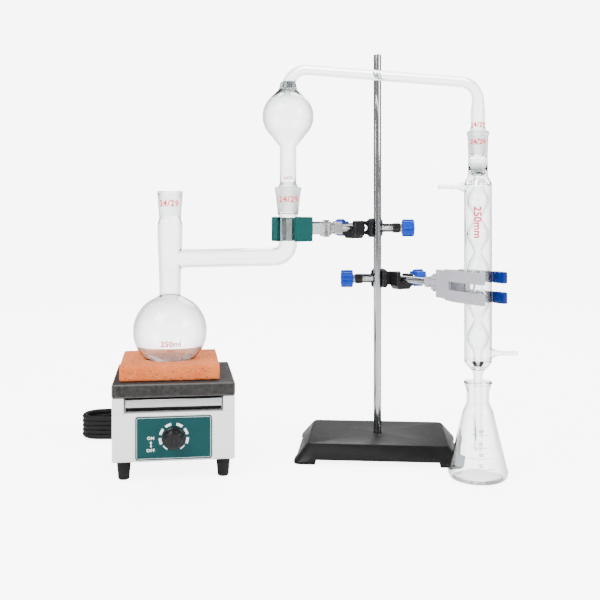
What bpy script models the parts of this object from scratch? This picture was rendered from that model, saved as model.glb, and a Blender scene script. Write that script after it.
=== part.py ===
"""Distillation set on a retort stand, with its hotplate.

A 250 ml side-arm flask stands in a firebrick on a square hotplate. A clamp on the stand holds the flask's
side socket, a splash head leads the vapour over, and a bulb condenser in a second clamp drips into a conical
receiver. Heights are metres above the bench; the layout is drawn about the flask's axis, and the whole
assembly is moved at the end so that the origin is the middle of its underside.
"""
import bpy
import bmesh
from math import acos, atan2, cos, degrees, hypot, pi, radians, sin, sqrt
from mathutils import Matrix, Vector

# ---------------------------------------------------------------- driving dimensions (metres, degrees)
GAP = 0.0003                     # clearance between faces that touch
SIDES = 18                       # facets around a glass piece
GLASS_WALL = 0.0018

ROD_X, ROD_Y = 0.2494, 0.060     # stand rod, from the flask's axis
ROD_RADIUS = 0.0048
ROD_TOP = 0.491
BASE_TOP = (0.168, 0.125)        # width and depth of the stand base's top
BASE_FOOT = (0.197, 0.150)       # width and depth at the bench
BASE_HEIGHT = 0.0215
BASE_PLATE = 0.0065              # thickness of the base's top plate
BASE_ARCH = 0.005                # gap under the skirt between two feet
BASE_FOOT_WIDTH = 0.026
BASE_TURN = -4.8

PLATE_SIZE = 0.136
PLATE_THICKNESS = 0.0152
PLATE_TOP = 0.1067
BRICK_SIZE = 0.112
BRICK_THICKNESS = 0.018
BRICK_HOLE_RADIUS = 0.0305
CASE_SIZE = 0.135
CASE_TOP = 0.0741
CASE_WALL = 0.0012
POST_SIZE = 0.013
FOOT_HEIGHT = 0.0206
HOTPLATE_SHIFT = 0.0045          # hotplate's middle, to the right of the flask's axis
HOTPLATE_TURN = 7.8
LABEL_SIZE = (0.084, 0.0478)
LABEL_THICKNESS = 0.0008
DIAL_HEIGHT = 0.047
DIAL_RADIUS = 0.0122
DIAL_DEPTH = 0.013

BULB_RADIUS = 0.043
NECK_RADIUS = 0.0125
FLASK_RIM = 0.3202
SIDE_REACH = 0.139               # flask's axis to the side socket's axis
SIDE_ARM_HEIGHT = 0.2415
SIDE_ARM_RADIUS = 0.0107
SIDE_RIM = 0.3249
COLLAR_RADIUS = 0.0152
COLLAR_LENGTH = 0.030
COLLAR_WAIST = 0.0122             # outer radius at the foot of a large socket's cone
LARGE_JOINT = (0.012, 0.029)     # bore radius at the top and length of a 24/29 joint
SMALL_JOINT = (0.0094, 0.026)    # the same of a 19/26 joint
JOINT_TAPER = 0.05               # change of radius per length, a 1 in 10 cone

HEAD_STEM_RADIUS = 0.0096
HEAD_BULB_RADIUS = 0.030
HEAD_BULB_HEIGHT = 0.4085
HEAD_TUBE_RADIUS = 0.0060
HEAD_TUBE_START = 0.4645         # height of the connecting tube's axis where it leaves the bulb
HEAD_TUBE_END = 0.438            # and over the condenser
DIP_TUBE_RADIUS = 0.0032

CONDENSER_X, CONDENSER_Y = 0.3511, -0.060
CONDENSER_RIM = 0.386
CONDENSER_COLLAR = 0.0117
JACKET_TOP, JACKET_FOOT = 0.336, 0.120
JACKET_RADIUS = 0.0152
INNER_NECK_RADIUS = 0.0049
INNER_BULB_RADIUS = 0.0125
INNER_BULBS = 5
INNER_BULB_FIRST = 0.309
INNER_BULB_PITCH = 0.038
DRIP_TIP = 0.030
BARB_REACH = 0.0445
BARB_RADIUS = 0.0024
BARB_HEIGHTS = (0.324, 0.139)    # upper outlet, lower inlet

RECEIVER_HEIGHT = 0.108
RECEIVER_RADIUS = 0.033
RECEIVER_NECK = 0.0124
RECEIVER_RIM = 0.0157

UPPER_CLAMP_HEIGHT = 0.2755
LOWER_CLAMP_HEIGHT = 0.2125
HOOK_REACH = 0.028               # rod's axis to the clamp shaft's axis, in a boss head
SHAFT_RADIUS = 0.004
SCREW_RADIUS = 0.003
KNOB_RADIUS = 0.0108
KNOB_LENGTH = 0.015
KNOB_LOBES = 8
PIVOT_BACK = 0.057               # upper jaw pivot to the tube that it grips
PAD_HEIGHT = 0.029
FORK_BACK = 0.072                # lower jaw pivot to the condenser's axis
FINGER_SPACING = 0.0224
FINGER_HEIGHT = 0.0125
FINGER_THICKNESS = 0.005

CORD_RADIUS = 0.00325
HANK_WIDTH = 0.039               # between the middles of a turn's two runs
HANK_RUN = 0.070
HANK_TURNS = 5                   # layers of the hank, one turn each
HANK_MIDDLE = (-0.0752, 0.128, 0)
GLAND_X = 0.030                  # gland, to the right of the hotplate's middle
GLAND_HEIGHT = 0.045
GLAND_LENGTH = 0.026
PLUG_HALF_HEIGHT = 0.0095

# ---------------------------------------------------------------- finishes: colour, roughness, metallic
FINISHES = {
    "glass": ((0.86, 0.90, 0.91), 0.04, 0.0),
    "black_cast": ((0.02, 0.02, 0.022), 0.45, 0.0),
    "chrome": ((0.75, 0.76, 0.78), 0.12, 1.0),
    "steel": ((0.62, 0.62, 0.63), 0.30, 1.0),
    "blue_plastic": ((0.02, 0.36, 0.86), 0.35, 0.0),
    "teal_rubber": ((0.0, 0.55, 0.52), 0.60, 0.0),
    "dark_blue_vinyl": ((0.0, 0.20, 0.55), 0.40, 0.0),
    "grey_cast": ((0.72, 0.71, 0.73), 0.45, 0.6),
    "firebrick": ((1.0, 0.62, 0.42), 0.95, 0.0),
    "black_iron": ((0.03, 0.03, 0.03), 0.70, 0.0),
    "white_enamel": ((0.91, 0.91, 0.90), 0.30, 0.0),
    "teal_label": ((0.0, 0.39, 0.47), 0.40, 0.0),
    "black_plastic": ((0.02, 0.02, 0.02), 0.45, 0.0),
    "black_rubber": ((0.025, 0.025, 0.025), 0.75, 0.0),
    "heater_wire": ((0.30, 0.26, 0.24), 0.60, 0.8),
}


# ---------------------------------------------------------------- shapes
def turned(profile, sides=SIDES):
    """A loop of (radius, height) points turned about Z; a radius of zero lies on the axis."""
    bm = bmesh.new()
    rings = []
    for radius, height in profile:
        if radius < 1e-7:
            rings.append([bm.verts.new((0, 0, height))])
            continue
        angles = [2 * pi * i / sides for i in range(sides)]
        rings.append([bm.verts.new((radius * cos(a), radius * sin(a), height)) for a in angles])
    for low, high in zip(rings, rings[1:] + rings[:1]):
        if len(low) == len(high) == 1:
            continue
        for i in range(sides):
            j = (i + 1) % sides
            corners = (low[i % len(low)], low[j % len(low)], high[j % len(high)], high[i % len(high)])
            bm.faces.new(list(dict.fromkeys(corners)))
    bmesh.ops.recalc_face_normals(bm, faces=bm.faces)
    return bm


def rounded_path(corners, bend, steps=5):
    """The polyline through the corners, with each inner corner replaced by an arc of radius bend."""
    path = [Vector(corners[0])]
    for before, here, after in zip(corners, corners[1:], corners[2:]):
        before, here, after = Vector(before), Vector(here), Vector(after)
        arrive, leave = (here - before).normalized(), (after - here).normalized()
        turn = arrive.angle(leave)
        trim = bend * (sin(turn / 2) / cos(turn / 2))
        side = (leave - arrive * arrive.dot(leave)).normalized()
        centre = here - arrive * trim + side * bend
        for i in range(steps + 1):
            angle = turn * i / steps
            path.append(centre + bend * (arrive * sin(angle) - side * cos(angle)))
    return path + [Vector(corners[-1])]


def swept(path, radii, sides=16):
    """A round bar along the path; radii is one radius, or one for each point."""
    path = [Vector(point) for point in path]
    if not isinstance(radii, (list, tuple)):
        radii = [radii] * len(path)
    bm = bmesh.new()
    rings = []
    across = None
    for i, (point, radius) in enumerate(zip(path, radii)):
        ahead = path[min(i + 1, len(path) - 1)] - path[max(i - 1, 0)]
        ahead.normalize()
        if across is None:
            across = ahead.orthogonal()
        across = (across - ahead * across.dot(ahead)).normalized()
        over = ahead.cross(across)
        angles = [2 * pi * k / sides for k in range(sides)]
        rings.append([bm.verts.new(point + radius * (across * cos(a) + over * sin(a))) for a in angles])
    for low, high in zip(rings, rings[1:]):
        for k in range(sides):
            n = (k + 1) % sides
            bm.faces.new((low[k], low[n], high[n], high[k]))
    bm.faces.new(rings[0])
    bm.faces.new(rings[-1])
    bmesh.ops.recalc_face_normals(bm, faces=bm.faces)
    return bm


def block(low, high, bevel=0.0, segments=1):
    """A box from its lowest to its highest corner, with its edges bevelled."""
    low, high = Vector(low), Vector(high)
    size = high - low
    bm = bmesh.new()
    place = Matrix.Translation((low + high) / 2) @ Matrix.Diagonal((*size, 1))
    bmesh.ops.create_cube(bm, size=1, matrix=place)
    if bevel:
        bevel = min(bevel, min(size) * 0.45)
        bmesh.ops.bevel(bm, geom=bm.edges[:], offset=bevel, segments=segments, affect="EDGES", profile=0.5)
    return bm


def prism(outline, low, high, bevel=0.0):
    """A flat outline of (x, y) points, drawn up from low to high."""
    bm = bmesh.new()
    base = [bm.verts.new((x, y, low)) for x, y in outline]
    face = bm.faces.new(base)
    top = bmesh.ops.extrude_face_region(bm, geom=[face])["geom"]
    bmesh.ops.translate(bm, verts=[v for v in top if isinstance(v, bmesh.types.BMVert)], vec=(0, 0, high - low))
    bmesh.ops.recalc_face_normals(bm, faces=bm.faces)
    if bevel:
        rims = [e for e in bm.edges if abs(e.verts[0].co.z - e.verts[1].co.z) < 1e-7]
        bmesh.ops.bevel(bm, geom=rims, offset=bevel, segments=1, affect="EDGES", profile=0.5)
    return bm


def rod_solid(radius, low, high, sides=SIDES, chamfer=0.0):
    """A cylinder along Z."""
    return turned([(0, low), (radius - chamfer, low), (radius, low + chamfer),
                   (radius, high - chamfer), (radius - chamfer, high), (0, high)]
                  if chamfer else [(0, low), (radius, low), (radius, high), (0, high)], sides)


def moved(bm, place):
    bmesh.ops.transform(bm, matrix=place, verts=bm.verts)
    return bm


def shift(x=0.0, y=0.0, z=0.0):
    return Matrix.Translation((x, y, z))


def along(direction):
    """Turns the Z axis to a direction, keeping the new X axis level where it can."""
    return Vector(direction).to_track_quat("Z", "Y").to_matrix().to_4x4()


def combined(first, second, operation):
    """The exact Boolean of two closed meshes."""
    objects = []
    for bm in (first, second):
        mesh = bpy.data.meshes.new("solid")
        bm.to_mesh(mesh)
        bm.free()
        piece = bpy.data.objects.new("solid", mesh)
        bpy.context.scene.collection.objects.link(piece)
        objects.append(piece)
    change = objects[0].modifiers.new("shape", "BOOLEAN")
    change.object = objects[1]
    change.operation = operation
    change.solver = "EXACT"
    bpy.context.view_layer.update()
    shaped = objects[0].evaluated_get(bpy.context.evaluated_depsgraph_get())
    result = bmesh.new()
    result.from_mesh(shaped.to_mesh())
    shaped.to_mesh_clear()
    for piece in objects:
        mesh = piece.data
        bpy.data.objects.remove(piece)
        bpy.data.meshes.remove(mesh)
    bmesh.ops.remove_doubles(result, verts=result.verts, dist=1e-6)
    return result


def joined(first, *others):
    for other in others:
        first = combined(first, other, "UNION")
    return first


def cut(first, *others):
    for other in others:
        first = combined(first, other, "DIFFERENCE")
    return first


# ---------------------------------------------------------------- objects
def finish(name):
    found = bpy.data.materials.get(name)
    if found:
        return found
    colour, roughness, metallic = FINISHES[name]
    material = bpy.data.materials.new(name)
    material.use_nodes = True
    shader = material.node_tree.nodes["Principled BSDF"]
    shader.inputs["Base Color"].default_value = (*colour, 1)
    shader.inputs["Roughness"].default_value = roughness
    shader.inputs["Metallic"].default_value = metallic
    return material


def empty(name, parent=None, location=(0, 0, 0), turn=0.0):
    """A parent frame, turned about Z by an angle in degrees."""
    frame = bpy.data.objects.new(name, None)
    bpy.context.scene.collection.objects.link(frame)
    frame.parent = parent
    frame.location = location
    frame.rotation_euler.z = radians(turn)
    return frame


def piece(name, bm, material, parent, location=(0, 0, 0), axis=None, smooth=35):
    """A node: its mesh is in its own frame, whose Z axis lies along axis where one is given."""
    mesh = bpy.data.meshes.new(name)
    bmesh.ops.remove_doubles(bm, verts=bm.verts, dist=1e-7)
    bm.to_mesh(mesh)
    bm.free()
    node = bpy.data.objects.new(name, mesh)
    bpy.context.scene.collection.objects.link(node)
    node.parent = parent
    node.location = location
    if axis is not None:
        node.rotation_euler = along(axis).to_euler()
    mesh.materials.append(finish(material))
    mesh.shade_smooth()
    mesh.set_sharp_from_angle(angle=radians(smooth))
    return node


# ---------------------------------------------------------------- stand
def rounded_rectangle(width, depth, corner, steps=3):
    """Corner points of a rectangle about the origin, with each corner an arc."""
    points = []
    for sx, sy, start in ((1, 1, 0), (-1, 1, 90), (-1, -1, 180), (1, -1, 270)):
        for i in range(steps + 1):
            a = radians(start + 90 * i / steps)
            points.append((sx * (width / 2 - corner) + corner * cos(a),
                           sy * (depth / 2 - corner) + corner * sin(a)))
    return points


def make_stand(assembly):
    stand = empty("stand", assembly, (ROD_X, ROD_Y, 0), BASE_TURN)
    foot = rounded_rectangle(*BASE_FOOT, 0.008)
    top = rounded_rectangle(*BASE_TOP, 0.008)
    base = bmesh.new()
    rings = [[base.verts.new((x, y, z)) for x, y in outline]
             for outline, z in ((foot, 0), (foot, 0.0025), (top, BASE_HEIGHT - 0.0012))]
    lip = [(x * (1 - 0.0012 / (BASE_TOP[0] / 2)), y * (1 - 0.0012 / (BASE_TOP[1] / 2))) for x, y in top]
    rings.append([base.verts.new((x, y, BASE_HEIGHT)) for x, y in lip])
    for low, high in zip(rings, rings[1:]):
        for i in range(len(low)):
            j = (i + 1) % len(low)
            base.faces.new((low[i], low[j], high[j], high[i]))
    base.faces.new(rings[0])
    base.faces.new(rings[-1])
    bmesh.ops.recalc_face_normals(base, faces=base.faces)
    ceiling = BASE_HEIGHT - BASE_PLATE
    pocket = block((-BASE_TOP[0] / 2 + 0.004, -BASE_TOP[1] / 2 + 0.004, -0.01),
                   (BASE_TOP[0] / 2 - 0.004, BASE_TOP[1] / 2 - 0.004, ceiling))
    half_x, half_y = BASE_FOOT[0] / 2 - BASE_FOOT_WIDTH, BASE_FOOT[1] / 2 - BASE_FOOT_WIDTH
    under_front = block((-half_x, -0.1, -0.01), (half_x, 0.1, BASE_ARCH))
    under_sides = block((-0.12, -half_y, -0.01), (0.12, half_y, BASE_ARCH))
    rod_hole = rod_solid(ROD_RADIUS + GAP, 0, BASE_HEIGHT + 0.01)
    piece("stand_base", cut(base, pocket, under_front, under_sides, rod_hole), "black_cast", stand)

    washer_low = ceiling - GAP - 0.0012
    nut_low = washer_low - GAP - 0.0048
    rod_foot = nut_low - 0.0015
    piece("stand_rod", rod_solid(ROD_RADIUS, rod_foot, ROD_TOP, 16, 0.0006), "chrome", stand)
    washer = turned([(ROD_RADIUS + GAP, washer_low), (0.0105, washer_low),
                     (0.0105, ceiling - GAP), (ROD_RADIUS + GAP, ceiling - GAP)])
    piece("rod_washer", washer, "steel", stand)
    hexagon = rod_solid(0.0092, nut_low, washer_low - GAP, 6)
    bore = rod_solid(ROD_RADIUS + GAP, 0, BASE_HEIGHT)
    piece("rod_nut", cut(hexagon, bore), "steel", stand)


# ---------------------------------------------------------------- boss heads and their screws
def knob_solid():
    """A thumb knob: a round bar whose radius swells once for each lobe, with bevelled rims."""
    count = KNOB_LOBES * 4
    outline = []
    for i in range(count):
        a = 2 * pi * i / count
        radius = KNOB_RADIUS * (0.90 + 0.10 * cos(KNOB_LOBES * a))
        outline.append((radius * cos(a), radius * sin(a)))
    return prism(outline, 0, KNOB_LENGTH, 0.001)


def make_screw(prefix, kind, boss, start, axis, length):
    """A screw whose point bears at start and whose shank leaves along axis, and its knob."""
    collar = length - 0.0018
    shank = turned([(0, 0), (SCREW_RADIUS - 0.0008, 0), (SCREW_RADIUS, 0.0008), (SCREW_RADIUS, collar),
                    (0.0052, collar), (0.0052, length), (0, length)], 12)
    piece(f"{prefix}_{kind}_screw", shank, "steel", boss, start, axis)
    seat = Vector(start) + Vector(axis).normalized() * (length + GAP)
    piece(f"{prefix}_{kind}_knob", knob_solid(), "blue_plastic", boss, seat, axis)


def make_boss(prefix, assembly, height, side, grip):
    """A boss head: it hooks round the rod, and its other hook carries the clamp's shaft.

    side is -1 where the shaft lies left of the rod. grip is the level direction of the shaft.
    """
    boss = empty(f"{prefix}_boss_frame", assembly, (ROD_X, ROD_Y, height))
    screw_side = -side
    barrel = (0.019, 0.028)                       # threaded barrel, out from the rod's axis
    inner = ROD_RADIUS + GAP

    def x_block(x0, x1, y0, y1, z, bevel=0.001):
        ends = sorted((screw_side * x0, screw_side * x1))
        return block((ends[0], y0, -z), (ends[1], y1, z), bevel)

    back = x_block(-0.0125, 0.0075, inner, 0.0125, 0.0120, 0.003)
    seat = x_block(-0.0125, -inner, -0.0060, inner + 0.003, 0.0110, 0.002)
    arm = x_block(0.003, barrel[1], 0.0042, 0.0110, 0.0052)
    nut = moved(rod_solid(0.0062, barrel[0], barrel[1], 16), along((screw_side, 0, 0)))
    web = x_block(-HOOK_REACH - 0.002, -0.009, 0.0058, 0.0122, 0.0085)
    body = joined(back, seat, arm, nut, web)

    grip = Vector(grip).normalized()
    press = Vector((grip.y, -grip.x, 0)) if side < 0 else Vector((-grip.y, grip.x, 0))
    hook_at = Vector((-screw_side * HOOK_REACH, 0, 0))
    into_hook = Matrix.Translation(hook_at) @ Matrix((
        (press.x, 0, grip.x, 0), (press.y, 0, grip.y, 0), (0, 1, 0, 0), (0, 0, 0, 1))).to_4x4()
    ring = SHAFT_RADIUS + GAP
    wall = (0.0088, 0.0155)
    outline = [(-0.0098, 0.0090), (-0.0098, -0.0085), (-0.0060, -0.0130), (0.0095, -0.0130),
               (wall[1], -0.0075), (wall[1], 0.0058), (wall[0], 0.0058), (wall[0], -0.0020)]
    outline += [(ring * cos(radians(a)), ring * sin(radians(a))) for a in (-30, -60, -90, -120, -150, -180)]
    outline += [(-ring, 0.0090)]
    hook = moved(prism(outline, -0.0075, 0.0075), into_hook)
    body = joined(body, hook)
    rod_bore = moved(rod_solid(SCREW_RADIUS + GAP, 0.004, 0.04, 16), along((screw_side, 0, 0)))
    hook_bore = moved(rod_solid(SCREW_RADIUS + GAP, 0, 0.04, 16), Matrix.Translation(hook_at) @ along(press))
    rod_way = rod_solid(inner, -0.05, 0.05)
    shaft_way = moved(rod_solid(ring, -0.05, 0.05), Matrix.Translation(hook_at) @ along(grip))
    body = cut(body, rod_bore, hook_bore, rod_way, shaft_way)
    piece(f"{prefix}_boss", body, "black_cast", boss)

    rod_tip = screw_side * (ROD_RADIUS + GAP)
    make_screw(prefix, "rod", boss, (rod_tip, 0, 0), (screw_side, 0, 0), barrel[1] + 0.0022 - abs(rod_tip))
    shaft_tip = SHAFT_RADIUS + GAP
    make_screw(prefix, "shaft", boss, hook_at + press * shaft_tip, press, wall[1] + 0.0052 - shaft_tip)


def clamp_frame(prefix, assembly, height, side, target):
    """The frame at the shaft's hook: X runs along the shaft to the target, and its reach is returned."""
    hook = Vector((ROD_X + side * HOOK_REACH, ROD_Y))
    away = Vector(target) - hook
    frame = empty(f"{prefix}_clamp_frame", assembly, (*hook, height), degrees(atan2(away.y, away.x)))
    return frame, away.length, away.to_3d().normalized()


# ---------------------------------------------------------------- clamps
def pin_solid(half_height, radius=0.0024):
    """A headed pin along Z."""
    head = radius + 0.0016
    return turned([(0, -half_height - 0.0015), (head, -half_height - 0.0015), (head, -half_height),
                   (radius, -half_height), (radius, half_height), (head, half_height),
                   (head, half_height + 0.0015), (0, half_height + 0.0015)], 16)


def lug(radius, low, high, reach, sweep_to):
    """A round lug about Z with a strap to a point, bored for the pin."""
    ring = rod_solid(radius, low, high, 16)
    heading = atan2(sweep_to, reach)
    strap = moved(block((0, -radius * 0.55, low), (hypot(reach, sweep_to), radius * 0.55, high)),
                  Matrix.Rotation(heading, 4, "Z"))
    return joined(ring, strap)


def make_upper_clamp(frame, reach):
    """Two padded jaws on one pin grip the flask's side tube."""
    pivot = reach - PIVOT_BACK
    pin_radius = 0.0024
    shaft_end = pivot - 0.0215
    piece("upper_clamp_shaft", rod_solid(SHAFT_RADIUS, -0.014, shaft_end - GAP, 16, 0.0005), "chrome",
          frame, axis=(1, 0, 0))
    head = block((shaft_end, -0.0062, -0.0072), (pivot - 0.0085, 0.0062, 0.0072), 0.0012)
    tongue = joined(block((pivot - 0.0095, -0.0045, -0.0035), (pivot, 0.0045, 0.0035)),
                    moved(rod_solid(0.0060, -0.0035, 0.0035, 16), shift(pivot)))
    pin_bore = moved(rod_solid(pin_radius + GAP, -0.02, 0.02, 16), shift(pivot))
    piece("upper_clamp_head", cut(joined(head, tongue), pin_bore), "steel", frame)
    jaw_frame = empty("upper_jaw_axis", frame, (pivot, 0, 0))
    lug_high = 0.0085
    piece("upper_jaw_pin", pin_solid(lug_high + GAP, pin_radius), "black_cast", jaw_frame)

    tube = SIDE_ARM_RADIUS
    plate_in = tube + 0.0036                     # plate's inner face, from the shaft's line
    plate_out = plate_in + 0.0030
    cover = 0.0012                               # pad's thickness outside the plate
    for name, hand, start, far_end in (("near", 1, 0.034, -0.0010), ("far", -1, 0.031, 0.0115)):
        end = PIVOT_BACK + far_end
        low, high = (0.0038, lug_high) if hand < 0 else (-lug_high, -0.0038)
        eye = lug(0.0060, low, high, 0.018, hand * (plate_in + 0.0015))
        strip = block((0.0165, *sorted((hand * plate_in, hand * plate_out))[:1], -0.0065),
                      (end - cover - GAP, sorted((hand * plate_in, hand * plate_out))[1], 0.0065))
        rise = block((0.0145, min(hand * plate_in, hand * plate_out), min(low, -0.0065)),
                     (0.0200, max(hand * plate_in, hand * plate_out), max(high, 0.0065)))
        core = PAD_HEIGHT / 2 - cover - GAP
        plate = block((start + cover, min(hand * plate_in, hand * plate_out), -core),
                      (end - cover - GAP, max(hand * plate_in, hand * plate_out), core))
        jaw = joined(eye, rise, strip, plate)
        bore = rod_solid(pin_radius + GAP, -0.02, 0.02, 16)
        tube_way = moved(rod_solid(tube + 0.003, -0.05, 0.05), shift(PIVOT_BACK))
        piece(f"upper_jaw_{name}", cut(jaw, bore, tube_way), "steel", jaw_frame)

        inner_face = tube * 0.62
        faces = sorted((hand * inner_face, hand * (plate_out + GAP + cover)))
        pad = block((start, faces[0], -PAD_HEIGHT / 2), (end, faces[1], PAD_HEIGHT / 2), 0.0008)
        slot_faces = sorted((hand * (plate_in - GAP), hand * (plate_out + GAP)))
        slot = block((start - 0.01, slot_faces[0], -core - GAP), (end - cover, slot_faces[1], core + GAP))
        groove = moved(rod_solid(tube + GAP, -0.05, 0.05, 32), shift(PIVOT_BACK))
        piece(f"upper_pad_{name}", cut(pad, slot, groove), "teal_rubber", jaw_frame)


def make_lower_clamp(frame, reach):
    """A forked clamp: each jaw is a casting with two curved fingers; the far fingers wear sleeves."""
    pivot = reach - FORK_BACK
    pin_radius = 0.0024
    shaft_end = pivot - 0.0165
    piece("lower_clamp_shaft", rod_solid(SHAFT_RADIUS, -0.014, shaft_end - GAP, 16, 0.0005), "chrome",
          frame, axis=(1, 0, 0))
    head = block((shaft_end, -0.0055, -0.0062), (pivot - 0.0085, 0.0055, 0.0062), 0.0015)
    tongue = joined(block((pivot - 0.0095, -0.0042, -0.0035), (pivot, 0.0042, 0.0035)),
                    moved(rod_solid(0.0060, -0.0035, 0.0035, 16), shift(pivot)))
    pin_bore = moved(rod_solid(pin_radius + GAP, -0.02, 0.02, 16), shift(pivot))
    piece("lower_clamp_head", cut(joined(head, tongue), pin_bore), "grey_cast", frame)
    jaw_frame = empty("lower_jaw_axis", frame, (pivot, 0, 0))
    lug_high = 0.0085
    piece("lower_jaw_pin", pin_solid(lug_high + GAP, pin_radius), "steel", jaw_frame)

    bulge = JACKET_RADIUS + GAP + FINGER_THICKNESS / 2   # finger's middle where it passes the jacket
    half = FINGER_THICKNESS / 2
    for name, hand, beyond in (("near", -1, 0.029), ("far", 1, 0.025)):
        low, high = (0.0038, lug_high) if hand < 0 else (-lug_high, -0.0038)
        eye = lug(0.0060, low, high, 0.014, hand * 0.0055)

        def finger_line(x):
            """Distance of the finger's middle from the shaft's line: out to the jacket, then level."""
            share = min(max((x - 0.012) / (FORK_BACK - 0.024), 0.0), 1.0)
            ease = share * share * (3 - 2 * share)
            return hand * (0.0062 + (bulge - 0.0062) * ease)

        def strip(x0, x1, z0, z1, thick=half, steps=7):
            """A strip of even thickness along the finger's line."""
            xs = [x0 + (x1 - x0) * i / steps for i in range(steps + 1)]
            outer = [(x, finger_line(x) + thick) for x in xs]
            inner = [(x, finger_line(x) - thick) for x in reversed(xs)]
            return prism(inner + outer, z0, z1)

        top = FINGER_SPACING / 2 + FINGER_HEIGHT / 2
        jaw = joined(eye, strip(0.0095, 0.040, -top * 0.93, top * 0.93))
        end = FORK_BACK + beyond
        for level in (-1, 1):
            middle = level * FINGER_SPACING / 2
            jaw = joined(jaw, strip(0.030, end, middle - FINGER_HEIGHT / 2, middle + FINGER_HEIGHT / 2))
        nose_cut = [(0.000, 0.0110), (0.034, 0.030), (0.0, 0.030)]
        upper_cut = moved(prism(nose_cut, -0.04, 0.04), Matrix.Rotation(radians(90), 4, "X"))
        lower_cut = moved(prism([(x, -y) for x, y in nose_cut], -0.04, 0.04),
                          Matrix.Rotation(radians(90), 4, "X"))
        bore = rod_solid(pin_radius + GAP, -0.02, 0.02, 16)
        jaw = cut(jaw, upper_cut, lower_cut, bore)
        sleeve_start = end - 0.019
        if hand > 0:
            for level in (-1, 1):
                middle = level * FINGER_SPACING / 2
                trim = block((sleeve_start - GAP, hand * (bulge - 0.02), middle - 0.01),
                             (end + 0.01, hand * (bulge + 0.02), middle + 0.01))
                jaw = cut(jaw, trim)
                stub_high = FINGER_HEIGHT / 2 - 0.0030
                stub = block((sleeve_start - 0.004, bulge - 0.0013, middle - stub_high),
                             (end - 0.003, bulge + 0.0013, middle + stub_high))
                jaw = joined(jaw, stub)
                sleeve = block((sleeve_start, bulge - 0.0029, middle - FINGER_HEIGHT / 2 - 0.0003),
                               (end, bulge + 0.0033, middle + FINGER_HEIGHT / 2 + 0.0003), 0.001)
                socket = block((sleeve_start - 0.01, bulge - 0.0013 - GAP, middle - stub_high - GAP),
                               (end - 0.003 + GAP, bulge + 0.0013 + GAP, middle + stub_high + GAP))
                way = moved(rod_solid(JACKET_RADIUS + GAP, -0.05, 0.05, 32), shift(FORK_BACK))
                level_name = "upper" if level > 0 else "lower"
                piece(f"finger_sleeve_{level_name}", cut(sleeve, socket, way), "dark_blue_vinyl", jaw_frame)
        piece(f"lower_jaw_{name}", jaw, "grey_cast", jaw_frame)


# ---------------------------------------------------------------- glass
def bulb_arc(radius, centre, low_radius, high_radius, steps=8):
    """Points of a sphere about (0, centre), from one radius below it to another above it."""
    start = -acos(low_radius / radius)
    end = acos(high_radius / radius)
    angles = [start + (end - start) * i / steps for i in range(steps + 1)]
    return [(radius * cos(a), centre + radius * sin(a)) for a in angles]


def socket_profile(rim, length, waist, tube, shoulder):
    """Outer points of a socket: its tube, a shoulder to the waist at the cone's foot, and the cone up to its lip."""
    return [(tube, rim - length - shoulder), (waist, rim - length), (COLLAR_RADIUS - 0.0010, rim - 0.0045),
            (COLLAR_RADIUS, rim - 0.0025), (COLLAR_RADIUS, rim), (0, rim)]


def socket_bore(rim, joint, tube_bore, foot):
    """Bore points of a socket from the axis at foot up past its rim."""
    radius, length = joint
    low = radius - JOINT_TAPER * length
    return [(0, foot), (tube_bore, foot), (tube_bore, rim - length - 0.003), (low, rim - length),
            (radius, rim), (radius, rim + 0.01), (0, rim + 0.01)]


def make_flask(assembly):
    """A round bulb with a top socket, and a side arm that turns up into a second socket."""
    centre = PLATE_TOP + BRICK_THICKNESS + sqrt(BULB_RADIUS ** 2 - BRICK_HOLE_RADIUS ** 2) + 2.2 * GAP
    bulb = bulb_arc(BULB_RADIUS, centre, 0, NECK_RADIUS, 10)
    body = turned([(0, bulb[0][1])] + bulb[1:]
                  + socket_profile(FLASK_RIM, COLLAR_LENGTH, COLLAR_WAIST, NECK_RADIUS + 0.0015, 0.009))
    route = rounded_path([(0, 0, SIDE_ARM_HEIGHT - 0.001), (SIDE_REACH, 0, SIDE_ARM_HEIGHT + 0.002),
                          (SIDE_REACH, 0, SIDE_RIM - COLLAR_LENGTH - 0.002)], SIDE_ARM_RADIUS + 0.004)
    arm = swept(route, SIDE_ARM_RADIUS, SIDES)
    side_socket = turned([(0, SIDE_RIM - COLLAR_LENGTH - 0.004)]
                         + socket_profile(SIDE_RIM, COLLAR_LENGTH, COLLAR_WAIST, SIDE_ARM_RADIUS - 0.0004, 0.004))
    body = joined(body, arm, moved(side_socket, shift(SIDE_REACH)))

    hollow = bulb_arc(BULB_RADIUS - GLASS_WALL, centre, 0, NECK_RADIUS - GLASS_WALL, 10)
    bulb_space = turned([(0, hollow[0][1])] + hollow[1:] + [(NECK_RADIUS - GLASS_WALL, SIDE_ARM_HEIGHT + 0.02),
                                                            (0, SIDE_ARM_HEIGHT + 0.02)])
    neck_bore = turned(socket_bore(FLASK_RIM, LARGE_JOINT, LARGE_JOINT[0] - 0.0026, SIDE_ARM_HEIGHT + 0.01))
    inner_route = [(0.001, 0, route[0].z)] + route[1:-1] + [route[-1] + Vector((0, 0, 0.001))]
    arm_bore = swept(inner_route, SIDE_ARM_RADIUS - GLASS_WALL, SIDES)
    side_bore = moved(turned(socket_bore(SIDE_RIM, LARGE_JOINT, SIDE_ARM_RADIUS - GLASS_WALL - 0.0004,
                                         SIDE_RIM - COLLAR_LENGTH - 0.006)), shift(SIDE_REACH))
    piece("boiling_flask", cut(body, bulb_space, neck_bore, arm_bore, side_bore), "glass", assembly)


def cone_profile(rim, joint, stem):
    """Outer points of a ground cone that sits in a socket with this rim, from its tip up to its stem."""
    radius, length = joint
    top = radius - GAP
    return [(0, rim - length), (top - JOINT_TAPER * length, rim - length), (top, rim),
            (top, rim + 0.0015), (stem, rim + 0.0045)]


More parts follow.
